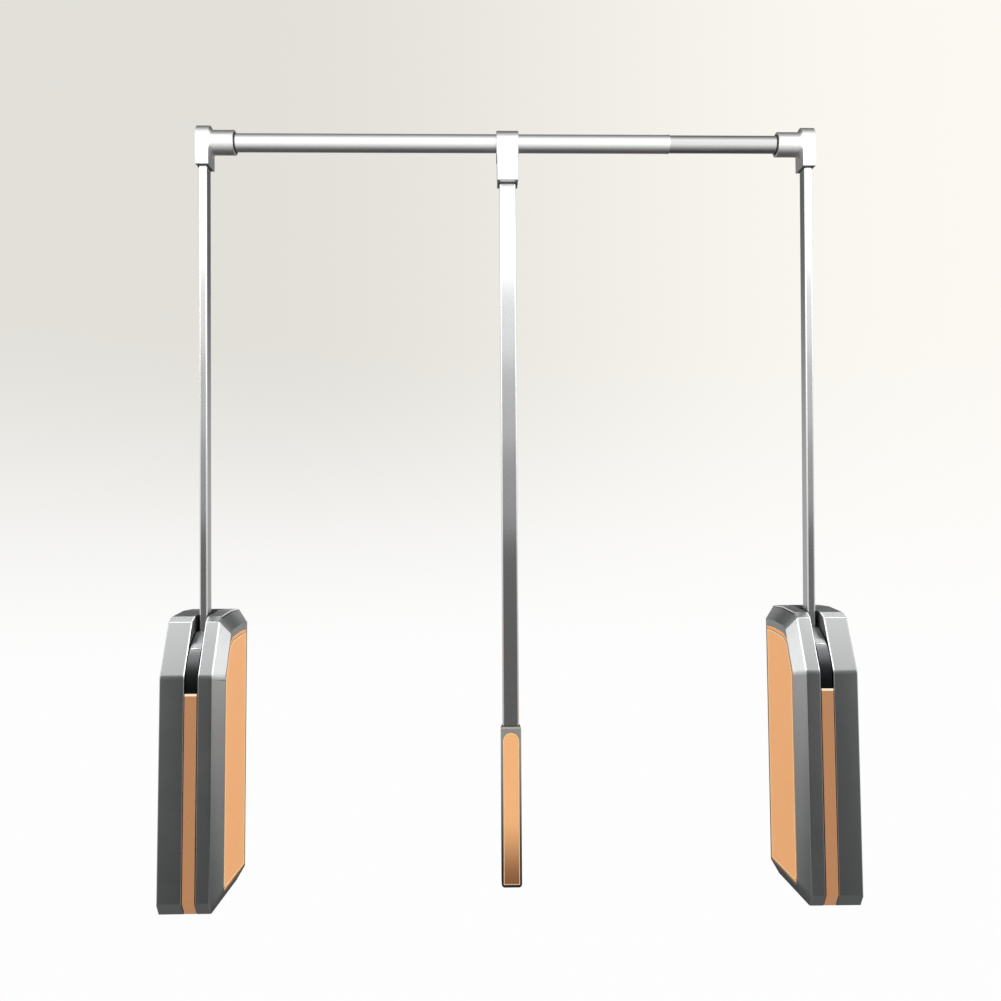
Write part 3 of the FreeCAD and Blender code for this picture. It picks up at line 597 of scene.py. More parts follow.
def finish_mesh(
    bm: bmesh.types.BMesh, name: str, body: str, material: bpy.types.Material,
    sharp: float = 28.0,
) -> bpy.types.Object:
    """Turn a bmesh into a piece that rides on a body.

    Args:
        bm: The finished shape, in the part's frame; it is freed.
        name: Name of the piece.
        body: Body that carries it.
        material: Its finish.
        sharp: Edges that turn by more than this many degrees stay sharp.

    Returns:
        The new object.
    """
    limit = math.radians(sharp)
    for face in bm.faces:
        face.smooth = True
    for edge in bm.edges:
        edge.smooth = len(edge.link_faces) == 2 and edge.calc_face_angle(0.0) < limit
    mesh = bpy.data.meshes.new(name)
    bm.to_mesh(mesh)
    bm.free()
    if "custom_normal" in mesh.attributes:
        mesh.attributes.remove(mesh.attributes["custom_normal"])
    mesh.materials.append(material)
    piece = bpy.data.objects.new(name, mesh)
    bpy.context.scene.collection.objects.link(piece)
    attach(piece, body)
    log.info("%s: %d faces on %s", name, len(mesh.polygons), body)
    return piece


def picked(made: list[Any], kind: type) -> list[Any]:
    """The elements of one kind in what an operator made."""
    return [item for item in made if isinstance(item, kind)]


def rounded(
    bm: bmesh.types.BMesh, edges: list[bmesh.types.BMEdge], radius: float, segments: int = 3
) -> None:
    """Round edges of a closed shape and turn its faces outwards.

    Args:
        bm: The shape.
        edges: The edges to round.
        radius: How far the rounding starts from the edge.
        segments: Facets across it.
    """
    bmesh.ops.bevel(
        bm, geom=edges, offset=radius, segments=segments, profile=0.5, affect="EDGES", material=-1
    )
    bmesh.ops.recalc_face_normals(bm, faces=bm.faces[:])


Weigh = Callable[[bmesh.types.BMEdge], float]


@dataclass(frozen=True)
class SoftCopy:
    """A frame node shown through a copy whose hard edges are rounded.

    An edge is rounded if its faces turn by more than a number of degrees and it isn't too short.
    The rounding shrinks where another edge lies close, so that it doesn't fold over that edge.
    """

    node: str
    radius: float = 0.5 * MM
    segments: int = 3
    turn: float = 28.0
    shortest: float = 0.7 * MM
    crowding: float = 2.6
    search: float = 20.0
    weld: float = 2e-6
    flat: float = 0.4

    def merged(self) -> bmesh.types.BMesh:
        """Join the node's loose triangles into faces.

        Returns:
            The joined shape.
        """
        bm = bmesh.new()
        bm.from_mesh(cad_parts[self.node].data)
        bmesh.ops.remove_doubles(bm, verts=bm.verts[:], dist=self.weld)
        limit = math.radians(self.flat)
        bmesh.ops.dissolve_limit(bm, angle_limit=limit, verts=bm.verts[:], edges=bm.edges[:])
        return bm

    def _outer_edge(self, edge: bmesh.types.BMEdge) -> float:
        """Tell whether an edge is rounded.

        Args:
            edge: An edge of the copy.

        Returns:
            One on a convex edge that is long and sharp enough, else zero.
        """
        if len(edge.link_faces) != 2 or not edge.is_convex:
            return 0.0
        sharp = edge.calc_face_angle(0.0) > math.radians(self.turn)
        return 1.0 if sharp and edge.calc_length() > self.shortest else 0.0

    def _room(self, edge: bmesh.types.BMEdge) -> float:
        """Distance from an edge to the nearest other edge across the faces that it joins.

        Args:
            edge: An edge of the copy.

        Returns:
            The distance, at most as far as the search goes.
        """
        start, along = edge.verts[0].co, edge.verts[1].co - edge.verts[0].co
        heading = along.normalized()
        nearest = self.radius * self.search
        for other in {e for face in edge.link_faces for e in face.edges}:
            if other is edge or set(other.verts) & set(edge.verts):
                continue
            a, b = (v.co for v in other.verts)
            for share in (0.1, 0.3, 0.5, 0.7, 0.9):
                point = start + along * share
                foot, place = intersect_point_line(point, a, b)
                foot = a if place < 0.0 else b if place > 1.0 else foot
                gap = foot - point
                if abs(gap.dot(heading)) < gap.length * 0.7:
                    nearest = min(nearest, gap.length)
        return nearest

    def build(
        self, body: str, slot: str, material: bpy.types.Material,
        widest: float = 0.0, weigh: Weigh | None = None,
    ) -> None:
        """Make the copy and show it in place of the node.

        Args:
            body: Body that carries it.
            slot: Name of a material slot; not used.
            material: Its finish.
            widest: Largest rounding of the piece, where some edges are rounder than the rest.
            weigh: Gives the share of the largest rounding that an edge gets, or zero.
        """
        width = max(self.radius, widest)
        bm = self.merged()
        layer = bm.edges.layers.float.new("bevel_weight_edge")
        for edge in bm.edges:
            share = weigh(edge) if weigh else self._outer_edge(edge) * self.radius / width
            edge[layer] = min(share, self._room(edge) / (self.crowding * width)) if share else 0.0
        piece = finish_mesh(bm, self.node + "_soft", body, material)
        bevel = piece.modifiers.new("rounding", "BEVEL")
        bevel.limit_method = "WEIGHT"
        bevel.width = width
        bevel.segments = self.segments
        bevel.use_clamp_overlap = False
        bevel.loop_slide = False
        bevel.harden_normals = True
        bevel.miter_outer = "MITER_ARC"
        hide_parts(self.node)


def piping(
    node: str, up: Vector, name: str, body: str, material: bpy.types.Material,
    width: float, height: float, margin: float = 0.0,
) -> None:
    """Rounded bead that follows the outline of a trim panel's visible face.

    It is rooted in the panel by a third of its height.

    Args:
        node: The trim panel.
        up: Direction that its visible face looks.
        name: Name of the bead.
        body: Body that carries it.
        material: Its finish.
        width: Width of the bead.
        height: How far it stands above the panel.
        margin: How far it runs inside the outline.
    """
    bm = SoftCopy(node).merged()
    face = max((f for f in bm.faces if f.normal.dot(up) > 0.9), key=lambda f: f.calc_area())
    bmesh.ops.delete(bm, geom=[f for f in bm.faces if f is not face], context="FACES")
    if margin:
        inset = bmesh.ops.inset_region(
            bm, faces=bm.faces[:], thickness=margin, depth=0.0, use_boundary=True
        )
        bmesh.ops.delete(bm, geom=inset["faces"], context="FACES")
    bmesh.ops.inset_region(bm, faces=bm.faces[:], thickness=width, depth=0.0, use_boundary=True)
    bmesh.ops.delete(bm, geom=[max(bm.faces, key=lambda f: f.calc_area())], context="FACES_ONLY")
    bmesh.ops.translate(bm, vec=-up * height * 0.3, verts=bm.verts[:])
    raised = bmesh.ops.extrude_face_region(bm, geom=bm.faces[:], use_keep_orig=True)["geom"]
    top = picked(raised, bmesh.types.BMVert)
    bmesh.ops.translate(bm, vec=up * height * 1.3, verts=top)
    crown = [
        e for e in bm.edges
        if set(e.verts) <= set(top) and len(e.link_faces) == 2
        and e.calc_face_angle(0.0) > math.radians(60)
    ]
    rounded(bm, crown, min(width, height * 1.3) * 0.45)
    finish_mesh(bm, name, body, material, sharp=50.0)


def spun_ring(
    profile: list[tuple[float, float]], centre: Vector, axis: Vector, steps: int = 64
) -> bmesh.types.BMesh:
    """Turn a closed profile round an axis.

    Args:
        profile: Points as distance along the axis and distance from it.
        centre: A point on the axis.
        axis: Direction of the axis.
        steps: Facets round the ring.

    Returns:
        The closed ring.
    """
    bm = bmesh.new()
    side = axis.orthogonal().normalized()
    corners = [bm.verts.new(centre + axis * along + side * out) for along, out in profile]
    edges = [bm.edges.new((corners[i], corners[(i + 1) % len(corners)])) for i in range(len(corners))]
    bmesh.ops.spin(
        bm, geom=corners + edges, cent=centre, axis=axis, angle=2 * math.pi, steps=steps, use_merge=True
    )
    bmesh.ops.remove_doubles(bm, verts=bm.verts[:], dist=1e-7)
    bmesh.ops.recalc_face_normals(bm, faces=bm.faces[:])
    return bm


@dataclass(frozen=True)
class Gasket:
    """Flat black gasket that a rectangular tube passes through, drawn upright round the Z axis."""

    tube: tuple[float, float]
    rim: float
    corner: float
    low: float
    high: float

    def build(self, name: str, body: str, place: Matrix, material: bpy.types.Material) -> None:
        """Make the gasket and move it to its seat.

        Args:
            name: Name of the gasket.
            body: Body that carries it.
            place: Turn and shift from the origin to the seat.
            material: Its finish.
        """
        width, depth = (across + self.rim for across in self.tube)
        bm = bmesh.new()
        bmesh.ops.create_cube(bm, size=1.0)
        bmesh.ops.scale(bm, vec=(width, depth, self.high - self.low), verts=bm.verts[:])
        bmesh.ops.translate(bm, vec=(0.0, 0.0, (self.low + self.high) / 2), verts=bm.verts[:])
        upright = [e for e in bm.edges if e.verts[0].co.z != e.verts[1].co.z]
        rounded(bm, upright, self.corner, segments=4)
        bm.transform(place)
        finish_mesh(bm, name, body, material)


def screw_face(
    centre: Vector, axis: Vector, radius: float, recess: float, depth: float = 2.0 * MM, sides: int = 6
) -> bmesh.types.BMesh:
    """Head of a flush screw with a rounded rim and a many-sided recess.

    Args:
        centre: Middle of the head's face.
        axis: Direction that the face looks.
        radius: Radius of the head.
        recess: Radius of the recess.
        depth: Length of the head behind its face.
        sides: Corners of the recess.

    Returns:
        The closed head.
    """
    bm = bmesh.new()

    def sink(edges: list[bmesh.types.BMEdge], drop: float) -> None:
        """Draw an open rim down and close it.

        Args:
            edges: The rim.
            drop: How far it goes down.
        """
        drawn = bmesh.ops.extrude_edge_only(bm, edges=edges)["geom"]
        bmesh.ops.translate(bm, vec=(0.0, 0.0, -drop), verts=picked(drawn, bmesh.types.BMVert))
        bmesh.ops.contextual_create(bm, geom=picked(drawn, bmesh.types.BMEdge))

    made = bmesh.ops.create_circle(bm, cap_ends=True, radius=radius, segments=36)
    face = bm.faces[:][0]
    hole = bmesh.ops.create_circle(bm, cap_ends=False, radius=recess, segments=sides)
    rim = [e for v in made["verts"] for e in v.link_edges]
    well = [e for v in hole["verts"] for e in v.link_edges]
    bmesh.ops.delete(bm, geom=[face], context="FACES_ONLY")
    bmesh.ops.bridge_loops(bm, edges=list(set(rim + well)))
    sink(list({e for v in hole["verts"] for e in v.link_edges if e.is_boundary}), depth * 0.7)
    sink([e for e in bm.edges if e.is_boundary], depth)
    top = [
        e for e in bm.edges
        if all(abs(v.co.z) < 1e-9 and v.co.xy.length > radius * 0.98 for v in e.verts)
    ]
    rounded(bm, top, radius * 0.08)
    turn = Vector((0.0, 0.0, 1.0)).rotation_difference(axis).to_matrix().to_4x4()
    bm.transform(Matrix.Translation(centre) @ turn)
    return bm


# ---------------------------------------------------------------- the part
# Where the rail's axis runs, and the flat tube of the arms and the handle.
RAIL_DEPTH = -27.064 * MM
RAIL_HEIGHT = 836.0 * MM
TUBE_WIDE = 18.0 * MM
TUBE_THIN = 8.8 * MM


class Side(Enum):
    """Left and right halves of the part."""

    LEFT = -1
    RIGHT = 1

    @property
    def word(self) -> str:
        """Start of this side's node names."""
        return self.name.lower() + "_"


@dataclass
class Housing:
    """Wall housing: two painted trays, leather trim, and the drive inside them."""

    side: Side
    finishes: Finishes
    front: float = -55.0 * MM
    facet_foot: float = 247.5 * MM
    facet_top: tuple[float, float] = (-28.0 * MM, 303.5 * MM)
    shoulder: tuple[float, float] = (-17.0 * MM, 309.0 * MM)
    crown: tuple[float, float] = (22.0 * MM, 313.0 * MM)
    bevel_inset: float = 12.0 * MM
    shoulder_inset: float = 15.0 * MM
    bevel_x: float = 316.0 * MM
    reach: float = 2.2 * MM
    blend: float = 3.0 * MM
    ridge: float = 1.1 * MM
    ridge_reach: float = 0.05 * MM
    break_shares: tuple[float, float, float, float] = (1.0, 0.21, 0.2, 0.3)
    flattest: float = 4.0

    def _inset_corner(
        self, before: tuple[float, float], at: tuple[float, float], after: tuple[float, float],
        first: float, second: float,
    ) -> tuple[float, float]:
        """Corner of the outline after its two edges move inwards.

        Args:
            before: Corner before it, depth and height.
            at: The corner itself.
            after: Corner after it.
            first: How far the edge that ends here moves.
            second: How far the edge that starts here moves.

        Returns:
            Depth and height of the moved corner.
        """
        a = (Vector(at) - Vector(before)).normalized()
        b = (Vector(after) - Vector(at)).normalized()
        shift_a = Vector((a.y, -a.x)) * first
        shift_b = Vector((b.y, -b.x)) * second
        cross = a.x * b.y - a.y * b.x
        gap = (Vector(at) + shift_b) - (Vector(at) + shift_a)
        moved = Vector(at) + shift_a + a * ((gap.x * b.y - gap.y * b.x) / cross)
        return moved.x, moved.y

    def _soft_corners(self) -> list[tuple[list[tuple[float, float]], float]]:
        """Breaks that run across the housing.

        Returns:
            The depth and height of each break's corners, with its share of the widest rounding.
        """
        foot = (self.front, self.facet_foot)
        below = (self.front, 0.0)
        bevel, shoulder = self.bevel_inset, self.shoulder_inset
        inner_foot = self._inset_corner(below, foot, self.facet_top, bevel, bevel)
        inner_top = self._inset_corner(foot, self.facet_top, self.shoulder, bevel, shoulder)
        breaks = ([foot, inner_foot], [self.facet_top, inner_top], [self.shoulder], [self.crown])
        return list(zip(breaks, self.break_shares))

    def _weigh(self, edge: bmesh.types.BMEdge) -> float:
        """Share of the widest rounding for an edge of a tray.

        Args:
            edge: An edge of the tray.

        Returns:
            A share between zero and one; zero leaves the edge sharp.
        """
        if len(edge.link_faces) != 2 or not edge.is_convex:
            return 0.0
        if edge.calc_face_angle(0.0) < math.radians(self.flattest):
            return 0.0
        for corners, share in self._soft_corners():
            if all(
                any(math.hypot(vert.co.y - y, vert.co.z - z) < self.reach for y, z in corners)
                for vert in edge.verts
            ):
                return share
        along_ridge = all(abs(abs(v.co.x) - self.bevel_x) < self.ridge_reach for v in edge.verts)
        return self.ridge / self.blend if along_ridge else 0.0

    def build(self) -> None:
        """Make the soft-edged trays and trim and dress the rest."""
        word, body = self.side.word, self.side.word + "housing"
        f = self.finishes
        for name in ("outer_shell", "inner_shell"):
            SoftCopy(word + name).build(body, "housing_grey", f.housing, self.blend, self._weigh)
        strip, panel = word + "front_strip", word + "side_panel"
        SoftCopy(strip, radius=0.55 * MM, segments=4, turn=20.0).build(body, "tan_leather", f.shaded_strip_leather)
        SoftCopy(panel, radius=0.3 * MM).build(body, "tan_leather", f.panel_leather)
        inwards = Vector((-self.side.value, 0.0, 0.0))
        # Dark strip inside the piping: painted shade of a groove round the panel.
        piping(
            panel, inwards, word + "panel_groove_shade", body, f.groove_shade,
            width=0.7 * MM, height=0.12 * MM, margin=2.6 * MM,
        )
        # Pale bead round the panel: its colour is a painted highlight.
        piping(
            panel, inwards, word + "panel_piping", body, f.piping,
            width=1.5 * MM, height=0.7 * MM, margin=3.3 * MM,
        )
        dress({
            "mounting_plate": f.zinc, "slot_spine": f.black, "outer_bush": f.acetal,
            "inner_bush": f.acetal, "shell_screws": f.screw, "stop_buffers": f.rubber,
            "gas_cylinder": f.cylinder, "rack_guide": f.black, "damper_body": f.black,
            "lift_rack": f.zinc, "gas_rod": f.chrome, "damper_pinion": f.zinc,
        }, word)


@dataclass
class SwingArm:
    """Drum, arm tube and connector of one side."""

    side: Side
    finishes: Finishes
    lean: float = 2.6
    pivot_height: float = 240.0 * MM
    arm_x: float = 338.0 * MM
    connector_width: float = 14.7 * MM
    connector_foot: float = 28.0 * MM
    collar_reach: float = 26.6 * MM
    collar_radius: float = 13.5 * MM
    lip_proud: float = 0.15 * MM
    rail_radius: tuple[float, float] = (10.1 * MM, 9.6 * MM)
    mouth_gap: float = 1.1 * MM
    screw_drop: float = 17.0 * MM
    screw_radius: float = 4.4 * MM
    crest_radius: float = 2.0 * MM
    crest_at: float = 51.15 * MM
    crest_angle: float = 44.5
    crest_steps: int = 20
    drum_width: float = 12.4 * MM

    @property
    def body(self) -> str:
        """Body that turns with the arm."""
        return self.side.word + "frame"

    def build(self) -> None:
        """Make the casting, the drum and their trim, and dress the rest."""
        word, f = self.side.word, self.finishes
        casting = SoftCopy(word + "arm_connector", radius=0.45 * MM, turn=40.0)
        casting.build(self.body, "satin_casting", f.casting)
        SoftCopy(word + "arm_drum").build(self.body, "drum_paint", f.drum)
        dress({
            "arm_pins": f.screw, "pivot_shaft": f.zinc, "lift_gear": f.zinc, "damper_gear": f.acetal,
            "arm_tube": f.arm,
        }, word)
        self._collar()
        self._screw()
        self._crest()
        self._gasket()

    def _collar(self) -> None:
        """Bright lip and black wiper in the mouth of the collar."""
        sign, f = self.side.value, self.finishes
        mouth = sign * (self.arm_x - self.connector_width / 2 - self.collar_reach)
        centre = Vector((mouth, RAIL_DEPTH, RAIL_HEIGHT))
        axis = Vector((sign, 0.0, 0.0))
        tube = self.rail_radius[0] if self.side is Side.LEFT else self.rail_radius[1]
        outer, inner = self.collar_radius + self.lip_proud, tube + self.mouth_gap
        lip = [
            (0.3 * MM, inner), (-0.05 * MM, inner + 0.3 * MM), (-0.05 * MM, outer - 0.7 * MM),
            (0.1 * MM, outer - 0.3 * MM), (0.35 * MM, outer - 0.08 * MM), (0.7 * MM, outer),
            (1.4 * MM, outer), (1.7 * MM, outer - 0.3 * MM), (1.7 * MM, inner),
        ]
        ring = spun_ring(lip, centre, axis)
        name = self.side.word + "collar_lip"
        finish_mesh(ring, name, self.body, f.casting, sharp=40.0)
        wiper = [
            (-1.5 * MM, tube + 0.02 * MM), (-1.5 * MM, tube + 0.35 * MM), (-1.2 * MM, inner - 0.35 * MM),
            (-0.6 * MM, inner - 0.1 * MM), (1.8 * MM, inner - 0.02 * MM), (1.8 * MM, tube + 0.02 * MM),
        ]
        ring = spun_ring(wiper, centre, axis)
        finish_mesh(ring, self.side.word + "rail_wiper", self.body, f.rubber)

    def _screw(self) -> None:
        """Locking screw with a hexagonal recess, flush with the casting."""
        sign, lean = self.side.value, math.radians(self.lean)
        centre = Vector((
            sign * (self.arm_x + self.connector_width / 2),
            RAIL_DEPTH + math.sin(lean) * self.screw_drop,
            RAIL_HEIGHT - math.cos(lean) * self.screw_drop,
        ))
        head = screw_face(centre, Vector((sign, 0.0, 0.0)), self.screw_radius, recess=2.0 * MM)
        name = self.side.word + "connector_screw_head"
        piece = finish_mesh(head, name, self.body, self.finishes.screw)
        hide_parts(self.side.word + "connector_screw")

    def _crest(self) -> None:
        """Rounded rib across the drum where its flat front meets the round face."""
        angle = math.radians(self.crest_angle + self.lean)
        centre = Vector((
            self.side.value * self.arm_x,
            -math.sin(angle) * self.crest_at,
            self.pivot_height + math.cos(angle) * self.crest_at,
        ))
        half = self.drum_width / 2 - 0.3 * MM
        r = self.crest_radius
        rib = [
            (-half, 0.0), (-half, r * 0.6), (-half + 0.4 * r, r),
            (half - 0.4 * r, r), (half, r * 0.6), (half, 0.0),
        ]
        ring = spun_ring(rib, centre, Vector((1.0, 0.0, 0.0)), self.crest_steps)
        name = self.side.word + "drum_crest"
        finish_mesh(ring, name, self.body, self.finishes.casting, sharp=60.0)

    def _gasket(self) -> None:
        """Black gasket where the arm tube enters the casting."""
        seat = Matrix.Translation((self.side.value * self.arm_x, RAIL_DEPTH, RAIL_HEIGHT))
        place = seat @ Matrix.Rotation(math.radians(self.lean), 4, "X")
        foot = -self.connector_foot
        gasket = Gasket(
            (TUBE_THIN, TUBE_WIDE), rim=2.6 * MM, corner=2.6 * MM, low=foot - 0.9 * MM, high=foot + 0.1 * MM
        )
        gasket.build(self.side.word + "arm_gasket", self.body, place, self.finishes.black)


@dataclass
class HangingRail:
    """Telescopic rail with its guide ring."""

    finishes: Finishes
    step: float = 181.0 * MM
    ring_length: float = 1.4 * MM
    ring_radius: float = 10.45 * MM
    bore: float = 9.66 * MM

    def build(self) -> None:
        """Dress the tubes and turn the guide ring."""
        f = self.finishes
        dress({"rail_outer_tube": f.rail, "rail_inner_tube": f.thin_rail})
        r, long = self.ring_radius, self.ring_length
        profile = [
            (0.0, self.bore), (0.0, r - 0.1 * MM), (0.2 * MM, r), (long - 0.55 * MM, r),
            (long - 0.2 * MM, r - 0.12 * MM), (long, r - 0.45 * MM), (long, self.bore),
        ]
        ring = spun_ring(profile, Vector((self.step, RAIL_DEPTH, RAIL_HEIGHT)), Vector((1.0, 0.0, 0.0)))
        piece = finish_mesh(ring, "guide_ring", "left_frame", f.chrome, sharp=50.0)
        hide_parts("rail_end_ring")


@dataclass
class Handle:
    """Bracket, bar and grip that hang from the rail."""

    finishes: Finishes
    sleeve_foot: float = 789.5 * MM
    grip_top: float = 188.8 * MM
    screw_back: float = -14.164 * MM
    screw_height: float = 802.0 * MM
    grip_screw_height: float = 148.8 * MM
    grip_back: float = -19.064 * MM
    screw_radius: float = 2.0 * MM

    def build(self) -> None:
        """Make the handle's pieces."""
        f = self.finishes
        bracket = SoftCopy("handle_bracket", radius=0.7 * MM, segments=4, turn=40.0)
        bracket.build("handle", "satin_casting", f.casting)
        SoftCopy("grip_shell", turn=40.0).build("handle", "grip_paint", f.grip)
        insert = SoftCopy("grip_insert", radius=0.75 * MM, segments=5, turn=40.0, shortest=0.2 * MM)
        insert.build("handle", "tan_leather", f.grip_leather)
        ahead = Vector((0.0, -1.0, 0.0))
        # Pale bead round the insert: its colour is a painted highlight.
        piping("grip_insert", ahead, "grip_piping", "handle", f.piping, width=0.9 * MM, height=0.22 * MM)
        dress({"handle_bar": f.arm, "bracket_bush": f.black})
        self._gaskets()
        self._screws()

    def _gaskets(self) -> None:
        """Black gaskets where the bar leaves the bracket and enters the grip."""
        place = Matrix.Translation((0.0, RAIL_DEPTH, 0.0))
        bar, top, foot = (TUBE_WIDE, TUBE_THIN), self.grip_top, self.sleeve_foot
        gaskets = {
            "grip_gasket": Gasket(
                bar, rim=2.0 * MM, corner=2.4 * MM, low=top - 0.1 * MM, high=top + 0.8 * MM
            ),
            "sleeve_gasket": Gasket(
                bar, rim=2.6 * MM, corner=2.0 * MM, low=foot - 0.9 * MM, high=foot + 0.1 * MM
            ),
        }
        for name, gasket in gaskets.items():
            gasket.build(name, "handle", place, self.finishes.black)

    def _screws(self) -> None:
        """Set screw of the bracket and of the grip."""
        back = Vector((0.0, 1.0, 0.0))
        places = {
            "bracket_screw": Vector((0.0, self.screw_back, self.screw_height)),
            "grip_screw": Vector((0.0, self.grip_back, self.grip_screw_height)),
        }
        for node, centre in places.items():
            head = screw_face(centre, back, self.screw_radius, recess=1.0 * MM)
            piece = finish_mesh(head, node + "_head", "handle", self.finishes.screw)
            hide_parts(node)


# ---------------------------------------------------------------- studio
@dataclass(frozen=True)
class Card:
    """Soft light that hangs on both sides of the part, mirrored."""

    name: str
    place: tuple[float, float, float]
    target: tuple[float, float, float]
    size: tuple[float, float]
    radiance: float
    housing_only: bool = True


@dataclass
class Studio:
    """Pale round backdrop, soft front panel, surround for reflections, and camera.

    Each band of the front panel is its lower and upper height and its brightness.
    """

    floor_height: float = -0.42
    floor_radius: float = 2.1
    room_radius: float = 2.7
    room_top: float = 3.0
    paper_left: Colour = (0.765, 0.745, 0.70)
    paper_right: Colour = (0.97, 0.945, 0.89)
    paper_low: Colour = (0.985, 0.985, 0.985)
    panel_depth: float = -0.20
    panel_width: float = 1.1
    bands: tuple[tuple[float, float, float], ...] = (
        (0.40, 0.51, 0.22), (0.51, 0.62, 0.42), (0.62, 0.72, 0.76), (0.72, 0.97, 1.30),
    )
    cards: tuple[Card, ...] = (
        Card("edge_strip", (1.55, -0.62, 1.05), (0.34, 0.0, 0.3), (0.25, 0.7), 3.2, False),
        Card("break_strip", (0.445, -0.03, 0.56), (0.36, -0.03, 0.3), (0.16, 0.10), 5.0),
        Card("shoulder_card", (0.435, 0.14, 0.56), (0.35, -0.02, 0.3), (0.18, 0.18), 1.0),
        Card("back_card", (0.33, 0.30, 0.43), (0.33, 0.0, 0.31), (0.13, 0.24), 0.7),
    )
    housing_faces: tuple[str, ...] = (
        "outer_shell_soft", "inner_shell_soft", "arm_drum_soft", "drum_crest",
    )
    daylight: Colour = (1.0, 0.998, 0.99)
    focal_pixels: float = 950.0
    render_pixels: float = 1001.0
    sensor: float = 36.0
    camera_place: tuple[float, float, float] = (-0.03238, -1.07158, 0.37628)
    yaw: float = -0.0216147
    pitch: float = 0.0553795
    roll: float = -0.0055749

    def build(self) -> None:
        """Set the stage."""
        self._backdrop()
        self._lights()
        self._sky()
        self._camera()
        bpy.context.scene.view_settings.view_transform = "Standard"

    def _backdrop(self) -> None:
        """Round floor that curves up into a wall and closes overhead."""
        bm = bmesh.new()

        def drawn(start: bmesh.types.BMVert, shift: tuple[float, float, float]) -> bmesh.types.BMVert:
            """Draw a line out from a vertex.

            Args:
                start: The vertex.
                shift: Length of the line along each axis.

            Returns:
                Its far end.
            """
            end = bmesh.ops.extrude_vert_indiv(bm, verts=[start])["verts"][0]
            bmesh.ops.translate(bm, vec=shift, verts=[end])
            return end

        def curved(start: bmesh.types.BMVert, height: float) -> bmesh.types.BMVert:
            """Draw a quarter circle up from a vertex.

            Args:
                start: The vertex.
                height: Height of the circle's middle.

            Returns:
                Its upper end.
            """
            bmesh.ops.spin(
                bm, geom=[start], cent=(self.floor_radius, 0.0, height), axis=(0.0, -1.0, 0.0),
                angle=math.pi / 2, steps=16, use_merge=False,
            )
            return max(bm.verts, key=lambda v: v.co.z)

        cove = self.room_radius - self.floor_radius
        wall = self.room_top - cove * 2 - self.floor_height
        edge = drawn(bm.verts.new((0.0, 0.0, self.floor_height)), (self.floor_radius, 0.0, 0.0))
        high = drawn(curved(edge, self.floor_height + cove), (0.0, 0.0, wall))
        roof = curved(high, high.co.z)
        drawn(roof, (-roof.co.x, 0.0, 0.0))
        bmesh.ops.spin(
            bm, geom=bm.verts[:] + bm.edges[:], cent=(0.0, 0.0, 0.0), axis=(0.0, 0.0, 1.0),
            angle=2 * math.pi, steps=64, use_merge=True,
        )
        bmesh.ops.remove_doubles(bm, verts=bm.verts[:], dist=1e-5)
        bmesh.ops.recalc_face_normals(bm, faces=bm.faces[:])
        for face in bm.faces:
            face.smooth = True
        mesh = bpy.data.meshes.new("backdrop")
        bm.to_mesh(mesh)
        bm.free()
        mesh.materials.append(self._paper())
        stage = bpy.data.objects.new("backdrop", mesh)
        stage.visible_glossy = False
        bpy.context.scene.collection.objects.link(stage)

    def _paper(self) -> bpy.types.Material:
        """Glowing pale paper, a little greyer to the upper left as painted shade.

        Returns:
            The material.
        """
        made, g = new_material("studio_paper")
        point = g.place()
        # The paper glows; it is painted greyer to the upper left as shade, and paler low.
        right = g.axis(point, "X").ramp(-1.0, 1.8)
        low = 1.0 - g.axis(point, "Z").ramp(-0.1, 1.25)
        high = g.blend(right, self.paper_left, self.paper_right)
        tone = g.blend(low, high, self.paper_low)
        shader = g.node("ShaderNodeEmission", {}, {"Color": tone, "Strength": 1.0}, "Emission")
        g.node("ShaderNodeOutputMaterial", {}, {"Surface": shader})
        return made

    def _panel(
        self, name: str, place: Vector, target: Vector, size: tuple[float, float], radiance: float
    ) -> bpy.types.Object:
        """Hang one soft panel light.

        Args:
            name: Name of the light.
            place: Where it hangs.
            target: What it faces.
            size: Width and height.
            radiance: Brightness of its face.

        Returns:
            The light.
        """
        data = bpy.data.lights.new(name, "AREA")
        data.shape = "RECTANGLE"
        data.size, data.size_y = size
        data.energy = radiance * math.pi * size[0] * size[1]
        data.color = self.daylight
        light = bpy.data.objects.new(name, data)
        light.location = place
        light.rotation_mode = "QUATERNION"
        light.rotation_quaternion = (target - place).to_track_quat("-Z", "Y")
        light.visible_camera = False
        bpy.context.scene.collection.objects.link(light)
        return light

    def _lights(self) -> None:
        """Soft panel ahead, weaker towards its foot, and the cards of each side."""
        for low, high, radiance in self.bands:
            middle = (low + high) / 2
            place, target = Vector((0.0, self.panel_depth, middle)), Vector((0.0, 0.0, middle))
            self._panel("front_panel", place, target, (self.panel_width, high - low), radiance)
        faces = bpy.data.collections.new("housing_faces")
        for side in Side:
            for name in self.housing_faces:
                faces.objects.link(bpy.data.objects[side.word + name])
        for card in self.cards:
            for side in Side:
                mirror = Matrix.Diagonal((side.value, 1.0, 1.0))
                place, target = mirror @ Vector(card.place), mirror @ Vector(card.target)
                light = self._panel(card.name, place, target, card.size, card.radiance)
                if card.housing_only:
                    light.light_linking.receiver_collection = faces

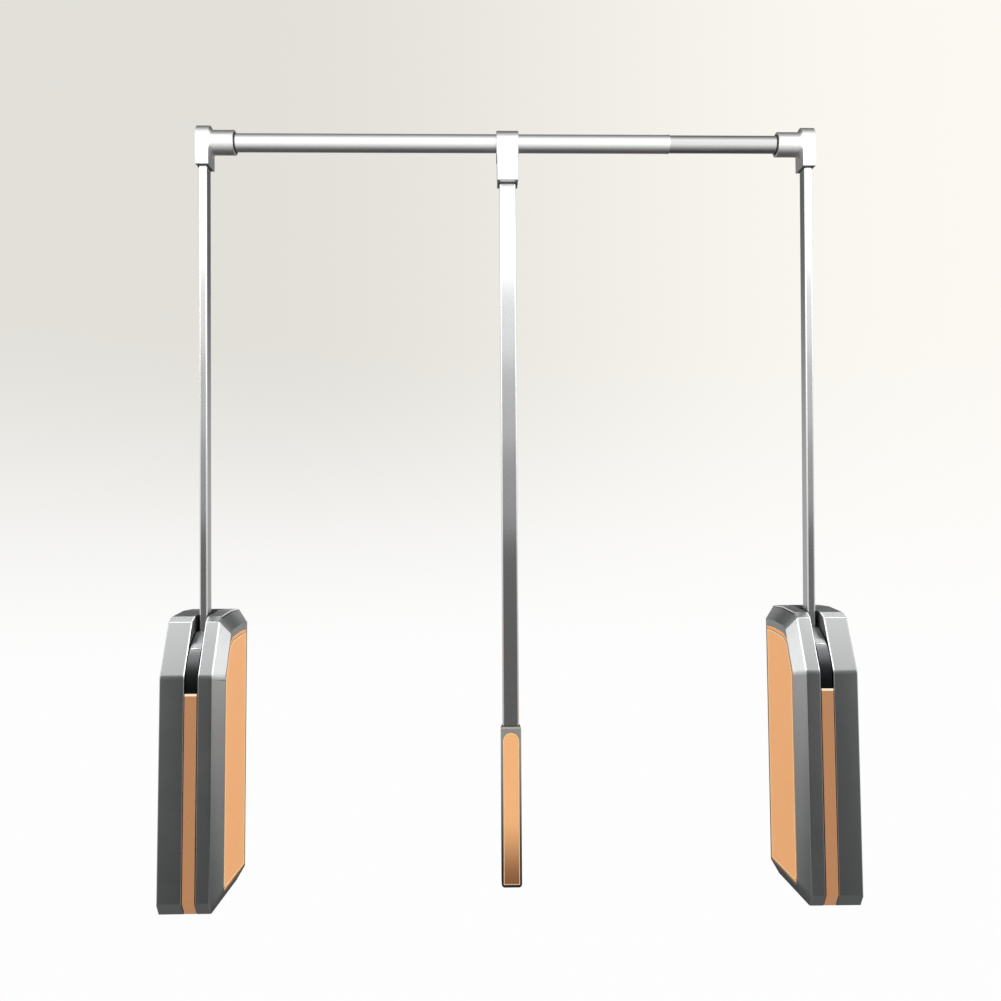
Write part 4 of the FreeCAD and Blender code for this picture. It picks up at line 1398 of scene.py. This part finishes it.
    def _sky(self) -> None:
        """Surround that the metal reflects: bright to the sides, dim below, a glow behind."""
        world = bpy.data.worlds.new("surround")
        bpy.context.scene.world = world
        world.use_nodes = True
        g = Graph(world.node_tree)
        way = g.node("ShaderNodeTexCoord", {}, {}, "Generated")
        height, back = g.axis(way, "Z"), g.axis(way, "Y")
        aside = g.axis(way, "X").distance_to(0.0)
        dusk = height.ramp(-0.6, 0.0) * 0.07 + 0.08
        shadow_behind = back.ramp(0.1, 0.6) * height.ramp(0.15, 0.30) * 0.65
        overhead = height.ramp(0.60, 0.95) * 0.12
        high_ahead = height.ramp(0.40, 0.65) * (1.0 - back.ramp(-0.75, 0.0))
        low_ahead = (1.0 - height.ramp(-0.92, -0.60)) * (1.0 - back.ramp(-0.35, 0.15)) * 0.28
        glow_behind = (1.0 - height.distance_to(0.0).ramp(0.05, 0.30)) * back.ramp(0.0, 0.7) * 0.25
        sides = aside.ramp(0.3, 0.9) * height.ramp(-0.8, 0.45)
        level = dusk * (1.0 - shadow_behind) + overhead + high_ahead + low_ahead + glow_behind + sides
        values = {"Color": (*self.daylight, 1.0), "Strength": level}
        shader = g.node("ShaderNodeBackground", {}, values, "Background")
        g.node("ShaderNodeOutputWorld", {}, {"Surface": shader})

    def _camera(self) -> None:
        """Camera ahead of the part, below its middle and tilted a little upwards."""
        data = bpy.data.cameras.new("camera")
        data.lens = self.focal_pixels / self.render_pixels * self.sensor
        data.sensor_width = self.sensor
        data.clip_end = 50.0
        camera = bpy.data.objects.new("camera", data)
        ahead = Matrix.Rotation(self.yaw, 4, "Z") @ Matrix.Rotation(math.pi / 2 + self.pitch, 4, "X")
        camera.matrix_world = (
            Matrix.Translation(self.camera_place) @ ahead @ Matrix.Rotation(self.roll, 4, "Z")
        )
        bpy.context.scene.collection.objects.link(camera)
        bpy.context.scene.camera = camera


def main() -> None:
    """Build the part and its studio."""
    logging.basicConfig(level=logging.INFO, format="%(message)s")
    finishes = Finishes()
    for side in Side:
        Housing(side, finishes).build()
        SwingArm(side, finishes).build()
    HangingRail(finishes).build()
    Handle(finishes).build()
    Studio().build()


if __name__ == "__main__":
    main()
